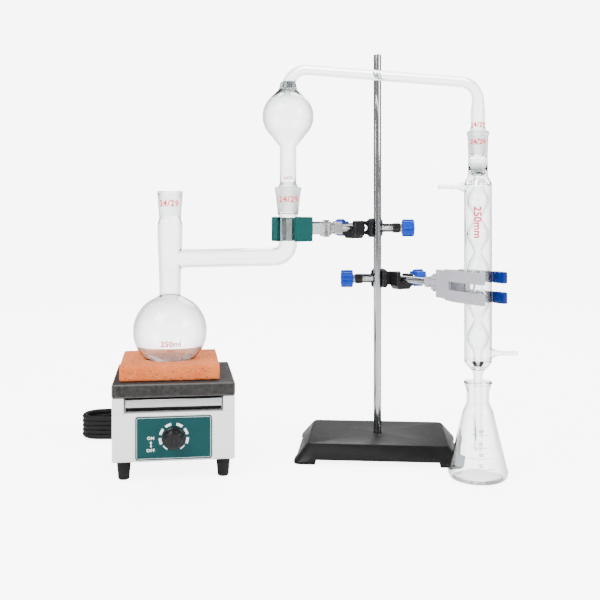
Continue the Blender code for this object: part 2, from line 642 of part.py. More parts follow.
def make_splash_head(assembly):
    """A bulb on a stem, with a bent dip tube inside and a long arm that leads over to the condenser."""
    away = Vector((CONDENSER_X - SIDE_REACH, CONDENSER_Y))
    frame = empty("splash_head_frame", assembly, (SIDE_REACH, 0, 0), degrees(atan2(away.y, away.x)))
    reach = away.length
    neck_top = HEAD_BULB_HEIGHT + HEAD_BULB_RADIUS + 0.004
    weld = HEAD_TUBE_RADIUS + 0.0036
    bulb = bulb_arc(HEAD_BULB_RADIUS, HEAD_BULB_HEIGHT, HEAD_STEM_RADIUS, weld, 10)
    body = turned(cone_profile(SIDE_RIM, LARGE_JOINT, HEAD_STEM_RADIUS) + bulb + [(weld, neck_top), (0, neck_top)])
    end = CONDENSER_RIM + 0.012
    route = rounded_path([(0, 0, neck_top - 0.003), (0, 0, HEAD_TUBE_START), (reach, 0, HEAD_TUBE_END),
                          (reach, 0, end)], 0.020, 6)
    narrow = HEAD_TUBE_RADIUS
    radii = [weld - 0.0005, weld - 0.0012] + [narrow] * (len(route) - 4) + [narrow + 0.0012, narrow + 0.0018]
    outer_arm = swept(route, radii, 12)
    drop = moved(turned(cone_profile(CONDENSER_RIM, SMALL_JOINT, narrow + 0.0018)
                        + [(narrow + 0.0018, end + 0.004), (0, end + 0.006)], 16), shift(reach))
    body = joined(body, outer_arm, drop)

    hollow = bulb_arc(HEAD_BULB_RADIUS - GLASS_WALL, HEAD_BULB_HEIGHT, HEAD_STEM_RADIUS - GLASS_WALL,
                      DIP_TUBE_RADIUS + 0.001, 10)
    space = turned([(0, SIDE_RIM - 0.04), (HEAD_STEM_RADIUS - GLASS_WALL, SIDE_RIM - 0.04)] + hollow
                   + [(0, hollow[-1][1])])
    passage = swept([route[0] + Vector((0, 0, 0.002))] + route[1:],
                    narrow - GLASS_WALL + 0.0003, 12)
    outlet = moved(rod_solid(narrow - GLASS_WALL + 0.0006, CONDENSER_RIM - 0.04, end + 0.004, 16), shift(reach))
    body = cut(body, space, passage, outlet)
    roof = hollow[-1][1]
    dip = rounded_path([(0, 0, roof + 0.003), (0, 0, roof - 0.0075), (-0.0150, 0, roof - 0.0200)], 0.008, 4)
    body = joined(body, swept(dip, DIP_TUBE_RADIUS, 8))
    dip_bore = swept([(0, 0, neck_top + 0.001)] + dip + [dip[-1] + (dip[-1] - dip[-2]).normalized() * 0.002],
                     DIP_TUBE_RADIUS - 0.0011, 8)
    piece("splash_head", cut(body, dip_bore), "glass", frame)


def bulbs_down(neck, bulb, top, foot):
    """The condenser's inner tube from top to foot: evenly spaced bulbs with straight necks between."""
    points = [(neck, top)]
    for i in range(INNER_BULBS):
        centre = INNER_BULB_FIRST - i * INNER_BULB_PITCH
        half = 0.0150
        for share in (-1.0, -0.66, -0.33, 0.0, 0.33, 0.66, 1.0):
            swell = 0.5 + 0.5 * cos(pi * share)
            points.append((neck + (bulb - neck) * swell ** 0.62, centre - share * half))
    return points + [(neck, foot)]


def make_condenser(assembly):
    """A jacketed condenser turned in one: the water space opens only at its two hose barbs."""
    frame = empty("condenser_frame", assembly, (CONDENSER_X, CONDENSER_Y, 0))
    wall = 0.0013
    throat = CONDENSER_COLLAR - 0.0009
    socket_foot = CONDENSER_RIM - SMALL_JOINT[1] - 0.008
    drip = INNER_NECK_RADIUS
    outer = [(0, CONDENSER_RIM), (CONDENSER_COLLAR, CONDENSER_RIM), (CONDENSER_COLLAR, CONDENSER_RIM - 0.006),
             (throat, CONDENSER_RIM - 0.009), (throat, JACKET_TOP + 0.001), (JACKET_RADIUS, JACKET_TOP - 0.009),
             (JACKET_RADIUS, JACKET_FOOT + 0.010), (drip + 0.003, JACKET_FOOT), (drip, JACKET_FOOT - 0.004),
             (drip, DRIP_TIP + 0.018), (drip - 0.0013, DRIP_TIP), (0, DRIP_TIP)]
    body = turned(outer, 16)
    barbs = []
    for height, hand in zip(BARB_HEIGHTS, (-1, 1)):
        lead = [(0, 0.0110), (BARB_RADIUS + 0.0035, 0.0110), (BARB_RADIUS + 0.0028, JACKET_RADIUS + 0.002),
                (BARB_RADIUS, JACKET_RADIUS + 0.007)]
        rings = []
        for i in range(3):
            at = BARB_REACH - 0.004 - 0.004 * (2 - i)
            rings += [(BARB_RADIUS, at - 0.0005), (BARB_RADIUS + 0.0009, at), (BARB_RADIUS, at + 0.0028)]
        tip = [(BARB_RADIUS, BARB_REACH), (0, BARB_REACH)]
        place = shift(z=height) @ along((hand, 0, 0))
        body = joined(body, moved(turned(lead + rings + tip, 10), place))
        barbs.append(moved(rod_solid(BARB_RADIUS - 0.0010, 0.0095, BARB_REACH + 0.01, 6), place))
    bore_top = socket_bore(CONDENSER_RIM, SMALL_JOINT, SMALL_JOINT[0] - 0.0016, socket_foot)[3:]
    neck_bore = INNER_NECK_RADIUS - wall
    inside = [(0, CONDENSER_RIM + 0.01)] + bore_top[-2::-1] + [(SMALL_JOINT[0] - 0.0026, socket_foot)]
    inside += bulbs_down(neck_bore, INNER_BULB_RADIUS - wall, JACKET_TOP - 0.004, JACKET_FOOT)
    inside += [(drip - 0.0026, DRIP_TIP - 0.01), (0, DRIP_TIP - 0.01)]
    water = bulbs_down(INNER_NECK_RADIUS, INNER_BULB_RADIUS, JACKET_TOP - 0.0065, JACKET_FOOT + 0.0060)
    jacket_bore = JACKET_RADIUS - wall
    water += [(jacket_bore, JACKET_FOOT + 0.0112), (jacket_bore, JACKET_TOP - 0.0102)]
    body = cut(body, turned(water, 16), *barbs)
    piece("condenser", cut(body, turned(inside, 16)), "glass", frame)


def make_receiver(assembly):
    """A conical flask that stands on the bench under the drip tube."""
    frame = empty("receiver_frame", assembly, (CONDENSER_X, CONDENSER_Y, 0))
    neck_foot = RECEIVER_HEIGHT * 0.765
    neck_top = RECEIVER_HEIGHT * 0.905
    side = [(RECEIVER_RADIUS - 0.004, 0), (RECEIVER_RADIUS - 0.0008, 0.003), (RECEIVER_RADIUS, 0.0085),
            (RECEIVER_RADIUS - 0.0016, 0.014), (RECEIVER_NECK + 0.0022, neck_foot - 0.005),
            (RECEIVER_NECK, neck_foot + 0.002), (RECEIVER_NECK, neck_top)]
    rim = [(RECEIVER_RIM - 0.0006, RECEIVER_HEIGHT - 0.004), (RECEIVER_RIM, RECEIVER_HEIGHT - 0.0018),
           (RECEIVER_RIM - 0.0016, RECEIVER_HEIGHT)]
    wall = GLASS_WALL
    inside = [(RECEIVER_RIM - 0.0034, RECEIVER_HEIGHT - 0.0012)]
    inside += [(radius - wall, height) for radius, height in reversed(side[2:])]
    inside += [(RECEIVER_RADIUS - 0.005, 0.0026), (0, 0.0022)]
    piece("receiver_flask", turned([(0, 0)] + side + rim + inside, 20), "glass", frame)


# ---------------------------------------------------------------- hotplate
def make_hotplate(assembly):
    """A square plate over a reflector tray, on four posts of a sheet case with a dial."""
    hotplate = empty("hotplate", assembly, (HOTPLATE_SHIFT, 0, 0), HOTPLATE_TURN)
    half = CASE_SIZE / 2
    plate_low = PLATE_TOP - PLATE_THICKNESS
    brick_frame = empty("brick_frame", assembly, turn=HOTPLATE_TURN)
    brick_low = PLATE_TOP + GAP
    brick = block((-BRICK_SIZE / 2, -BRICK_SIZE / 2, brick_low),
                  (BRICK_SIZE / 2, BRICK_SIZE / 2, brick_low + BRICK_THICKNESS), 0.0012)
    piece("firebrick", cut(brick, rod_solid(BRICK_HOLE_RADIUS, 0, 0.2, 40)), "firebrick", brick_frame)
    edge = PLATE_SIZE / 2
    piece("heating_plate", block((-edge, -edge, plate_low), (edge, edge, PLATE_TOP), 0.0012), "black_iron",
          hotplate)

    skin_top = CASE_TOP - CASE_WALL
    shell = block((-half, -half, FOOT_HEIGHT), (half, half, CASE_TOP), 0.0015)
    posts = []
    post_top = plate_low - GAP
    for sx in (-1, 1):
        for sy in (-1, 1):
            xs = sorted((sx * half, sx * (half - POST_SIZE)))
            ys = sorted((sy * half, sy * (half - POST_SIZE)))
            posts.append(block((xs[0], ys[0], skin_top), (xs[1], ys[1], post_top), 0.0010))
    inside = block((-half + CASE_WALL, -half + CASE_WALL, FOOT_HEIGHT - 0.01),
                   (half - CASE_WALL, half - CASE_WALL, skin_top))
    shaft_hole = moved(rod_solid(0.0038, half - 0.01, half + 0.01, 16), shift(z=DIAL_HEIGHT) @ along((0, -1, 0)))
    cord_hole = moved(rod_solid(0.0055, half - 0.01, half + 0.01, 16),
                      shift(GLAND_X, 0, GLAND_HEIGHT) @ along((0, 1, 0)))
    piece("case", cut(joined(shell, *posts), inside, shaft_hole, cord_hole), "white_enamel", hotplate)
    inset = half - CASE_WALL - GAP
    piece("bottom_cover", block((-inset, -inset, FOOT_HEIGHT), (inset, inset, FOOT_HEIGHT + 0.0015), 0.0004),
          "black_plastic", hotplate)

    board = half - POST_SIZE - 0.0015
    board_top = CASE_TOP + 0.0062
    piece("insulation_board", block((-board, -board, CASE_TOP + GAP), (board, board, board_top), 0.0004),
          "black_plastic", hotplate)
    tray_high = plate_low - 0.0022
    tray = block((-half + 0.001, -board, board_top + GAP), (half - 0.001, board, tray_high), 0.0005)
    side_bar = block((-board, -half + 0.001, board_top + GAP), (board, half - 0.001, tray_high), 0.0005)
    well = block((-board + 0.002, -board + 0.002, board_top + 0.0014), (board - 0.002, board - 0.002, 0.2))
    piece("reflector_tray", cut(joined(tray, side_bar), well), "steel", hotplate)
    coil_low = board_top + 0.0014 + GAP
    coil = turned([(0.020, coil_low), (0.046, coil_low), (0.046, coil_low + 0.0032), (0.020, coil_low + 0.0032)])
    piece("heater_element", coil, "heater_wire", hotplate)

    front = -half
    wide, tall = LABEL_SIZE
    label_low = DIAL_HEIGHT - tall * 0.50
    label = block((-wide / 2, front - GAP - LABEL_THICKNESS, label_low), (wide / 2, front - GAP, label_low + tall))
    label_hole = moved(rod_solid(0.0038, half - 0.01, half + 0.01, 16), shift(z=DIAL_HEIGHT) @ along((0, -1, 0)))
    piece("label_plate", cut(label, label_hole), "teal_label", hotplate)
    outside = half + GAP + LABEL_THICKNESS
    regulator = turned([(0, -0.016), (0.0105, -0.016), (0.0105, -CASE_WALL - GAP), (0.0033, -CASE_WALL - GAP),
                        (0.0033, outside - half + 0.006), (0, outside - half + 0.006)], 16)
    piece("regulator", regulator, "steel", hotplate, (0, front, DIAL_HEIGHT), (0, -1, 0))
    dial = turned([(0, 0.0075), (0.0036, 0.0075), (0.0036, 0), (DIAL_RADIUS, 0), (DIAL_RADIUS, 0.003),
                   (DIAL_RADIUS - 0.0025, 0.004), (DIAL_RADIUS - 0.0032, DIAL_DEPTH - 0.001),
                   (DIAL_RADIUS - 0.0042, DIAL_DEPTH), (0, DIAL_DEPTH)], 28)
    grip = block((-0.0016, -0.0078, DIAL_DEPTH - 0.002), (0.0016, 0.0078, DIAL_DEPTH + 0.0022), 0.0005)
    piece("dial_knob", joined(dial, grip), "black_plastic", hotplate,
          (0, -outside - GAP, DIAL_HEIGHT), (0, -1, 0))

    count = 0
    for sy in (-1, 1):
        for sx in (-1, 1):
            count += 1
            foot = turned([(0, 0), (0.0058, 0), (0.0066, 0.001), (0.0078, FOOT_HEIGHT - GAP),
                           (0, FOOT_HEIGHT - GAP)], 16)
            piece(f"foot_{count}", foot, "black_rubber", hotplate, (sx * (half - 0.0125), sy * (half - 0.0125), 0))

    neck = 0.0058
    gland = turned([(0, 0), (neck - 0.0008, 0), (neck - 0.0008, CASE_WALL + GAP), (0.0080, CASE_WALL + GAP),
                    (0.0080, 0.0038), (0.0056, 0.0044), (CORD_RADIUS + 0.0008, GLAND_LENGTH), (0, GLAND_LENGTH)], 16)
    piece("cord_gland", gland, "black_rubber", hotplate, (GLAND_X, half - CASE_WALL, GLAND_HEIGHT), (0, 1, 0))
    return hotplate


# ---------------------------------------------------------------- mains cord
def smooth_route(points, steps):
    """A smooth curve through hand-placed points, read at even steps along each stretch."""
    ends = [points[0] * 2 - points[1]] + points + [points[-1] * 2 - points[-2]]
    route = []
    for a, b, c, d in zip(ends, ends[1:], ends[2:], ends[3:]):
        for i in range(steps):
            t = i / steps
            route.append(0.5 * ((2 * b) + (c - a) * t + (2 * a - 5 * b + 4 * c - d) * t ** 2
                                + (3 * b - a - 3 * c + d) * t ** 3))
    return route + [points[-1]]


def cord_tube(name, points, assembly):
    """The plain round cord along a route, as a curve with filled ends."""
    curve = bpy.data.curves.new(name, "CURVE")
    curve.dimensions = "3D"
    curve.bevel_depth = CORD_RADIUS
    curve.bevel_resolution = 2
    curve.use_fill_caps = True
    spline = curve.splines.new("POLY")
    spline.points.add(len(points) - 1)
    for point, place in zip(spline.points, points):
        point.co = (*place, 1)
    node = bpy.data.objects.new(name, curve)
    bpy.context.scene.collection.objects.link(node)
    node.parent = assembly
    curve.materials.append(finish("black_rubber"))


def make_cord(assembly):
    """The cord leaves the gland, bends round onto a tied hank behind the case, and ends in a plug beside it."""
    floor = CORD_RADIUS + GAP
    top = floor + 2 * CORD_RADIUS * (HANK_TURNS - 1)
    spin = Matrix.Rotation(radians(HOTPLATE_TURN), 3, "Z")
    backwards = spin @ Vector((0, 1, 0))
    gland_end = (Vector((HOTPLATE_SHIFT, 0, 0))
                 + spin @ Vector((GLAND_X, CASE_SIZE / 2 - CASE_WALL + GLAND_LENGTH, 0)))
    gland_end.z = GLAND_HEIGHT
    start = gland_end + backwards * GAP
    hank_middle = Vector(HANK_MIDDLE)
    hank_high = top + CORD_RADIUS + GAP
    outer = HANK_WIDTH / 2 + CORD_RADIUS
    outline = []
    for side, centre in ((-90, HANK_RUN / 2), (90, -HANK_RUN / 2)):
        for i in range(9):
            a = radians(side + 180 * i / 8)
            outline.append((centre + outer * cos(a), outer * sin(a)))
    piece("cord_hank", prism(outline, GAP, hank_high), "black_rubber", assembly, hank_middle)
    tie = cut(block((-0.006, -outer - 0.0017, GAP), (0.006, outer + 0.0017, hank_high + 0.0017), 0.0006),
              block((-0.02, -outer - GAP, -0.01), (0.02, outer + GAP, hank_high + GAP)))
    piece("cord_tie", tie, "black_rubber", assembly, hank_middle + Vector((0.012, 0, 0)))

    # where a cord that lies along a run's line meets the hank's round end
    meet = HANK_RUN / 2 + sqrt(outer ** 2 - (HANK_WIDTH / 2 - CORD_RADIUS) ** 2) + 3 * GAP
    join = hank_middle + Vector((meet, HANK_WIDTH / 2, top))
    lead = [start, start + backwards * 0.010, start + Vector((-0.0037, 0.0215, -0.0014)),
            start + Vector((-0.0087, 0.0320, -0.0040)), start + Vector((-0.0162, 0.0410, -0.0074)),
            start + Vector((-0.0257, 0.0477, -0.0112)), join + Vector((0.0094, -0.0006, 0.0012)), join]
    cord_tube("mains_cord", smooth_route(lead, 2), assembly)

    leave = hank_middle + Vector((meet, -HANK_WIDTH / 2, floor))
    plug_at = leave + Vector((0.0262, 0.0010, PLUG_HALF_HEIGHT + GAP - floor))
    tail = [leave, leave + Vector((0.0065, 0.0001, 0.0006)), leave + Vector((0.0130, 0.0004, 0.0030)),
            leave + Vector((0.0195, 0.0007, 0.0055)), plug_at - Vector((GAP, 0, 0))]
    cord_tube("cord_tail", smooth_route(tail, 2), assembly)
    relief = moved(turned([(0, 0), (CORD_RADIUS + 0.0006, 0), (0.0055, 0.018), (0, 0.020)], 12), along((1, 0, 0)))
    shell = block((0.016, -0.0155, -PLUG_HALF_HEIGHT), (0.048, 0.0155, PLUG_HALF_HEIGHT), 0.003, 2)
    blades = [block((0.046, low, -0.0008), (0.064, low + 0.0063, 0.0008)) for low in (-0.0095, 0.0032)]
    piece("plug", joined(shell, relief, *blades), "black_plastic", assembly, plug_at)


# ---------------------------------------------------------------- the whole set
CORD_NODES = ("mains_cord", "cord_hank", "cord_tie", "cord_tail", "plug", "cord_gland")


def stand_on_origin(assembly):
    """Moves the assembly so that the middle of its underside, without the cord, is at the origin."""
    bpy.context.view_layer.update()
    corners = []
    for node in bpy.context.scene.objects:
        if node.type == "MESH" and node.name not in CORD_NODES:
            corners += [node.matrix_world @ vertex.co for vertex in node.data.vertices]
    low = [min(corner[axis] for corner in corners) for axis in range(3)]
    high = [max(corner[axis] for corner in corners) for axis in range(3)]
    assembly.location = (-(low[0] + high[0]) / 2, -(low[1] + high[1]) / 2, -low[2])
    bpy.context.view_layer.update()


def main():
    for old in list(bpy.data.objects):
        bpy.data.objects.remove(old)
    assembly = empty("assembly")
    make_stand(assembly)
    upper = clamp_frame("upper", assembly, UPPER_CLAMP_HEIGHT, -1, (SIDE_REACH, 0))
    lower = clamp_frame("lower", assembly, LOWER_CLAMP_HEIGHT, 1, (CONDENSER_X, CONDENSER_Y))
    make_boss("upper", assembly, UPPER_CLAMP_HEIGHT, -1, upper[2])
    make_boss("lower", assembly, LOWER_CLAMP_HEIGHT, 1, lower[2])
    make_upper_clamp(upper[0], upper[1])
    make_lower_clamp(lower[0], lower[1])
    make_flask(assembly)
    make_splash_head(assembly)
    make_condenser(assembly)
    make_receiver(assembly)
    make_hotplate(assembly)
    make_cord(assembly)
    stand_on_origin(assembly)


main()
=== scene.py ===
"""Looks for a distillation set: side-arm flask on a hotplate, splash head, bulb condenser, receiver, stand."""
import bpy
import bmesh
import numpy as np
from math import acos, atan2, cos, pi, radians, sin, sqrt
from mathutils import Matrix, Vector


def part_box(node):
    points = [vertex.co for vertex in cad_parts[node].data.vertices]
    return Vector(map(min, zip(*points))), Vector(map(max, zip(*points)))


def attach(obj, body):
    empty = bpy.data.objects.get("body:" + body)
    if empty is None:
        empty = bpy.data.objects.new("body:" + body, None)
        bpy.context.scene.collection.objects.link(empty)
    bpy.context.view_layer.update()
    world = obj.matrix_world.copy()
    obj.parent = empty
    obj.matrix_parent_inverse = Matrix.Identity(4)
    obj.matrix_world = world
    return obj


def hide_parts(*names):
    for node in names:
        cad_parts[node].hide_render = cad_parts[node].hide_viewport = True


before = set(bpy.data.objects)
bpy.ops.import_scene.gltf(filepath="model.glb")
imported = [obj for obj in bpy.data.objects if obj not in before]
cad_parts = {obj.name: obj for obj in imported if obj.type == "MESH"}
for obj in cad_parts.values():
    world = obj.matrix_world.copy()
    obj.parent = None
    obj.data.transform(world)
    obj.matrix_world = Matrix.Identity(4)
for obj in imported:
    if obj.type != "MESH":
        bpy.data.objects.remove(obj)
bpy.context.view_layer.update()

# ---------------------------------------------------------------- places, from the frame
GAP = 0.0003


def middle(node):
    """The middle of a CAD node's box."""
    low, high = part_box(node)
    return (low + high) / 2


FLASK = middle("firebrick")                          # flask axis
DROP = middle("receiver_flask")                      # condenser axis
PLATE = middle("heating_plate")
HOTPLATE_TURN = radians(7.8)
SIDE_REACH = 0.139
SIDE = Vector((FLASK.x + SIDE_REACH, FLASK.y, 0))    # side socket's axis
SIDE_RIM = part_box("boiling_flask")[1].z
UP = Vector((0, 0, 1))
EYE = Vector((FLASK.x + 0.1531, FLASK.y - 1.08, 0.3037))   # where the set is looked at from


# ---------------------------------------------------------------- surfaces
def new_piece(name, vertices, faces, smooth=35):
    """A piece at the origin from arrays of points and faces, closed at its poles, with its faces outwards."""
    mesh = bpy.data.meshes.new(name)
    mesh.from_pydata(np.asarray(vertices).tolist(), [], np.asarray(faces).tolist())
    return settled(name, mesh, smooth)


def linked(name, data):
    """A new object of this data, in the scene."""
    piece = bpy.data.objects.new(name, data)
    bpy.context.scene.collection.objects.link(piece)
    return piece


def settled(name, mesh, smooth=35):
    """Merges a mesh's doubled points, turns its faces outwards and shades it."""
    bm = bmesh.new()
    bm.from_mesh(mesh)
    bmesh.ops.remove_doubles(bm, verts=bm.verts, dist=2e-6)
    bmesh.ops.recalc_face_normals(bm, faces=bm.faces)
    bm.to_mesh(mesh)
    bm.free()
    mesh.shade_smooth()
    mesh.set_sharp_from_angle(angle=radians(smooth))
    return linked(name, mesh)


def grid_faces(rows, columns, loop=False):
    """Quads over a grid whose columns close on themselves; loop closes its rows too."""
    last = rows if loop else rows - 1
    row, column = np.meshgrid(np.arange(last), np.arange(columns), indexing="ij")
    beside, above = (column + 1) % columns, (row + 1) % rows
    quads = (row * columns + column, row * columns + beside, above * columns + beside, above * columns + column)
    return np.stack(quads, -1).reshape(-1, 4)


def turned(name, profile, sides=72, loop=False, place=Matrix(), smooth=35):
    """A profile of (radius, height) rows turned about Z: point (r cos a, r sin a, h) at each angle a."""
    profile = np.asarray(profile, float)
    angle = np.arange(sides) * 2 * pi / sides
    radius, height = profile[:, :1], profile[:, 1:]
    points = np.stack((radius * np.cos(angle), radius * np.sin(angle), height + 0 * angle), -1).reshape(-1, 3)
    return new_piece(name, moved(points, place), grid_faces(len(profile), sides, loop), smooth)


def moved(points, place):
    """Rows of points taken through a 4 x 4 placement."""
    place = np.array(place)
    return points @ place[:3, :3].T + place[:3, 3]


def along(direction):
    """Turns the Z axis to a direction."""
    return Vector(direction).to_track_quat("Z", "Y").to_matrix().to_4x4()


def put(x, y, z, axis=(0, 0, 1)):
    """A placement at a point, with Z turned to an axis."""
    return Matrix.Translation((x, y, z)) @ along(axis)


def tube(name, path, radii, sides=40, smooth=50):
    """A round bar along a path: at each point, a ring in the plane across the path, carried without twist."""
    path = np.asarray(path, float)
    radii = np.broadcast_to(np.asarray(radii, float), (len(path),))
    ahead = np.gradient(path, axis=0)
    ahead /= np.linalg.norm(ahead, axis=1, keepdims=True)
    across = np.zeros_like(path)
    across[0] = np.cross(ahead[0], (0.3, 0.9, 0.2))
    for i in range(len(path)):
        carried = across[max(i - 1, 0)]
        carried = carried - ahead[i] * (carried @ ahead[i])
        across[i] = carried / np.linalg.norm(carried)
    over = np.cross(ahead, across)
    angle = np.arange(sides) * 2 * pi / sides
    ring = (across[:, None] * np.cos(angle)[None, :, None] + over[:, None] * np.sin(angle)[None, :, None])
    points = path[:, None] + ring * radii[:, None, None]
    ends = [np.repeat(path[end][None, None], sides, 1) for end in (0, -1)]
    points = np.concatenate((ends[0], points, ends[1]), 0)
    return new_piece(name, points.reshape(-1, 3), grid_faces(len(points), sides), smooth)


def bent_path(corners, bend, steps=14, pace=0.003):
    """Straight runs between corners, joined by arcs of radius bend, with a point at least every pace."""
    path = [Vector(corners[0])]
    for before, here, after in zip(corners, corners[1:], corners[2:]):
        before, here, after = Vector(before), Vector(here), Vector(after)
        arrive, leave = (here - before).normalized(), (after - here).normalized()
        turn = arrive.angle(leave)
        trim = bend * sin(turn / 2) / cos(turn / 2)
        side = (leave - arrive * arrive.dot(leave)).normalized()
        centre = here - arrive * trim + side * bend
        for angle in np.linspace(0, turn, steps + 1):
            path.append(centre + bend * (arrive * sin(angle) - side * cos(angle)))
    path.append(Vector(corners[-1]))
    full = [path[0]]
    for here, after in zip(path, path[1:]):
        count = max(1, int((after - here).length / pace))
        full += [here.lerp(after, k / count) for k in range(1, count + 1)]
    return np.array(full)


def smooth_max(a, b, blend):
    """The larger of two arrays, rounded over where they come within blend of each other."""
    share = np.clip(0.5 + 0.5 * (a - b) / blend, 0, 1)
    return b + (a - b) * share + blend * share * (1 - share) * 0.5


def ease(value, low, high):
    """0 below low, 1 above high, and a smooth step between."""
    share = np.clip((value - low) / (high - low), 0, 1)
    return share * share * (3 - 2 * share)


def evaluated(piece):
    """A piece's mesh with its modifiers applied."""
    bpy.context.view_layer.update()
    shaped = piece.evaluated_get(bpy.context.evaluated_depsgraph_get())
    return bpy.data.meshes.new_from_object(shaped)


def carve(piece, *steps, smooth=50):
    """Joins or cuts solids in turn; each step is an operation and a piece that it uses up."""
    for operation, tool in steps:
        change = piece.modifiers.new("shape", "BOOLEAN")
        change.object = tool
        change.operation = operation
        change.solver = "EXACT"
        mesh = evaluated(piece)
        piece.modifiers.clear()
        piece.data = mesh
        bpy.data.objects.remove(tool)
    name, mesh = piece.name, piece.data
    bpy.data.objects.remove(piece)
    return settled(name, mesh, smooth)


def cad_copy(name, node):
    """A copy of a CAD node, merged into one skin."""
    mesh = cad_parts[node].data.copy()
    mesh.materials.clear()
    return settled(name, mesh)


def relaxed(name, node, voxel, rounds):
    """A copy of a CAD node with a fine remesh and rounds of relaxing on it, not yet applied."""
    piece = cad_copy(name, node)
    remesh = piece.modifiers.new("skin", "REMESH")
    remesh.mode = "VOXEL"
    remesh.voxel_size = voxel
    relax = piece.modifiers.new("relax", "SMOOTH")
    relax.factor = 0.5
    relax.iterations = rounds
    return piece


def cast(name, node, voxel, rounds, body, material, slot):
    """A casting or moulding: the CAD solid remeshed finely, then relaxed so that its edges are worn round."""
    piece = relaxed(name, node, voxel, rounds)
    mesh = evaluated(piece)
    bpy.data.objects.remove(piece)
    piece = settled(name, mesh, 60)
    return dressed(piece, material, body, slot, node)


def softened(name, node, width, body, material, slot, segments=3):
    """A pressed or machined piece: the CAD solid with flat faces made whole and its sharp edges rounded."""
    piece = cad_copy(name, node)
    bm = bmesh.new()
    bm.from_mesh(piece.data)
    bmesh.ops.dissolve_limit(bm, angle_limit=radians(0.5), verts=bm.verts, edges=bm.edges)
    bm.to_mesh(piece.data)
    bm.free()
    bevel = piece.modifiers.new("edges", "BEVEL")
    bevel.width = width
    bevel.segments = segments
    bevel.limit_method = "ANGLE"
    bevel.angle_limit = radians(40)
    bevel.use_clamp_overlap = True
    mesh = evaluated(piece)
    bpy.data.objects.remove(piece)
    piece = linked(name, mesh)
    mesh.shade_smooth()
    mesh.set_sharp_from_angle(angle=radians(30))
    return dressed(piece, material, body, slot, node)


def inked(name, points, faces, thickness, body, material, slot):
    """A thin piece of print from laid-out points, given its thickness."""
    mesh = bpy.data.meshes.new(name)
    mesh.from_pydata(points.tolist(), [], faces)
    piece = linked(name, mesh)
    thick = piece.modifiers.new("ink", "SOLIDIFY")
    thick.thickness = thickness
    thick.offset = 0
    return dressed(piece, material, body, slot)


def dressed(piece, material, body, slot, *nodes):
    """Gives a finished piece its material, its body and the CAD nodes that it stands for; slot is not used."""
    piece.data.materials.clear()
    piece.data.materials.append(material)
    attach(piece, body)
    if nodes:
        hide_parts(*nodes)
    return piece


# ---------------------------------------------------------------- materials
class Value:
    """A node's output; arithmetic on it adds Math nodes."""

    def __init__(self, maker, socket):
        self.maker = maker
        self.socket = socket

    def math(self, operation, *values):
        return self.maker.node("ShaderNodeMath", dict(enumerate(values)), operation=operation)

    def __add__(self, other):
        return self.math("ADD", self, other)

    def __sub__(self, other):
        return self.math("SUBTRACT", self, other)

    def __rsub__(self, other):
        return self.math("SUBTRACT", other, self)

    def __mul__(self, other):
        return self.math("MULTIPLY", self, other)

    def power(self, other):
        return self.math("POWER", self, other)

    def clamp(self):
        return self.maker.node("ShaderNodeClamp", {0: self})

    __radd__ = __add__
    __rmul__ = __mul__


class Finish:
    """A material being made: one Principled shader and the nodes that vary it."""

    def __init__(self, name, colour=(0.8, 0.8, 0.8), roughness=0.5, metallic=0.0, **constants):
        self.material = bpy.data.materials.new(name)
        self.material.use_nodes = True
        self.tree = self.material.node_tree
        self.shader = self.tree.nodes["Principled BSDF"]
        self.feed("Base Color", (*colour, 1))
        self.feed("Roughness", roughness)
        self.feed("Metallic", metallic)
        for socket, value in constants.items():
            self.feed(socket.replace("_", " "), value)

    def feed(self, socket, value):
        self.plug(self.shader.inputs[socket], value)

    def plug(self, socket, value):
        if isinstance(value, Value):
            self.tree.links.new(value.socket, socket)
        else:
            socket.default_value = value

    def node(self, kind, values, output=0, stops=None, **settings):
        """Any node: its settings and ramp stops first, then values or links for its sockets."""
        node = self.tree.nodes.new(kind)
        for setting, value in settings.items():
            setattr(node, setting, value)
        if stops:
            while len(node.color_ramp.elements) < len(stops):
                node.color_ramp.elements.new(0.5)
            for element, (position, colour) in zip(node.color_ramp.elements, stops):
                element.position = position
                element.color = (*colour, 1)
        for socket, value in values.items():
            self.plug(node.inputs[socket], value)
        return Value(self, node.outputs[output])

    def place(self):
        return self.node("ShaderNodeTexCoord", {}, output="Object")

    def noise(self, scale, detail=3.0, rough=0.55, stretch=(1, 1, 1)):
        where = self.node("ShaderNodeMapping", {"Vector": self.place(), "Scale": stretch})
        return self.node("ShaderNodeTexNoise", {"Vector": where, "Scale": scale, "Detail": detail,
                                                "Roughness": rough})

    def mix(self, share, first, second):
        return self.node("ShaderNodeMix", {0: share, 6: first, 7: second}, output=2, data_type="RGBA")

    def attribute(self, name):
        return self.node("ShaderNodeAttribute", {}, output="Fac", attribute_name=name)

    def bump(self, height, distance, strength=1.0):
        self.feed("Normal", self.node("ShaderNodeBump", {"Height": height, "Distance": distance,
                                                         "Strength": strength}))

    def edge_wear(self, low=0.51, high=0.58):
        """1 on sharp outer edges, 0 on flats, broken up by noise."""
        pointiness = self.node("ShaderNodeNewGeometry", {}, output="Pointiness")
        return ((pointiness - low) * (1 / (high - low)) * (self.noise(220) * 1.6)).clamp()


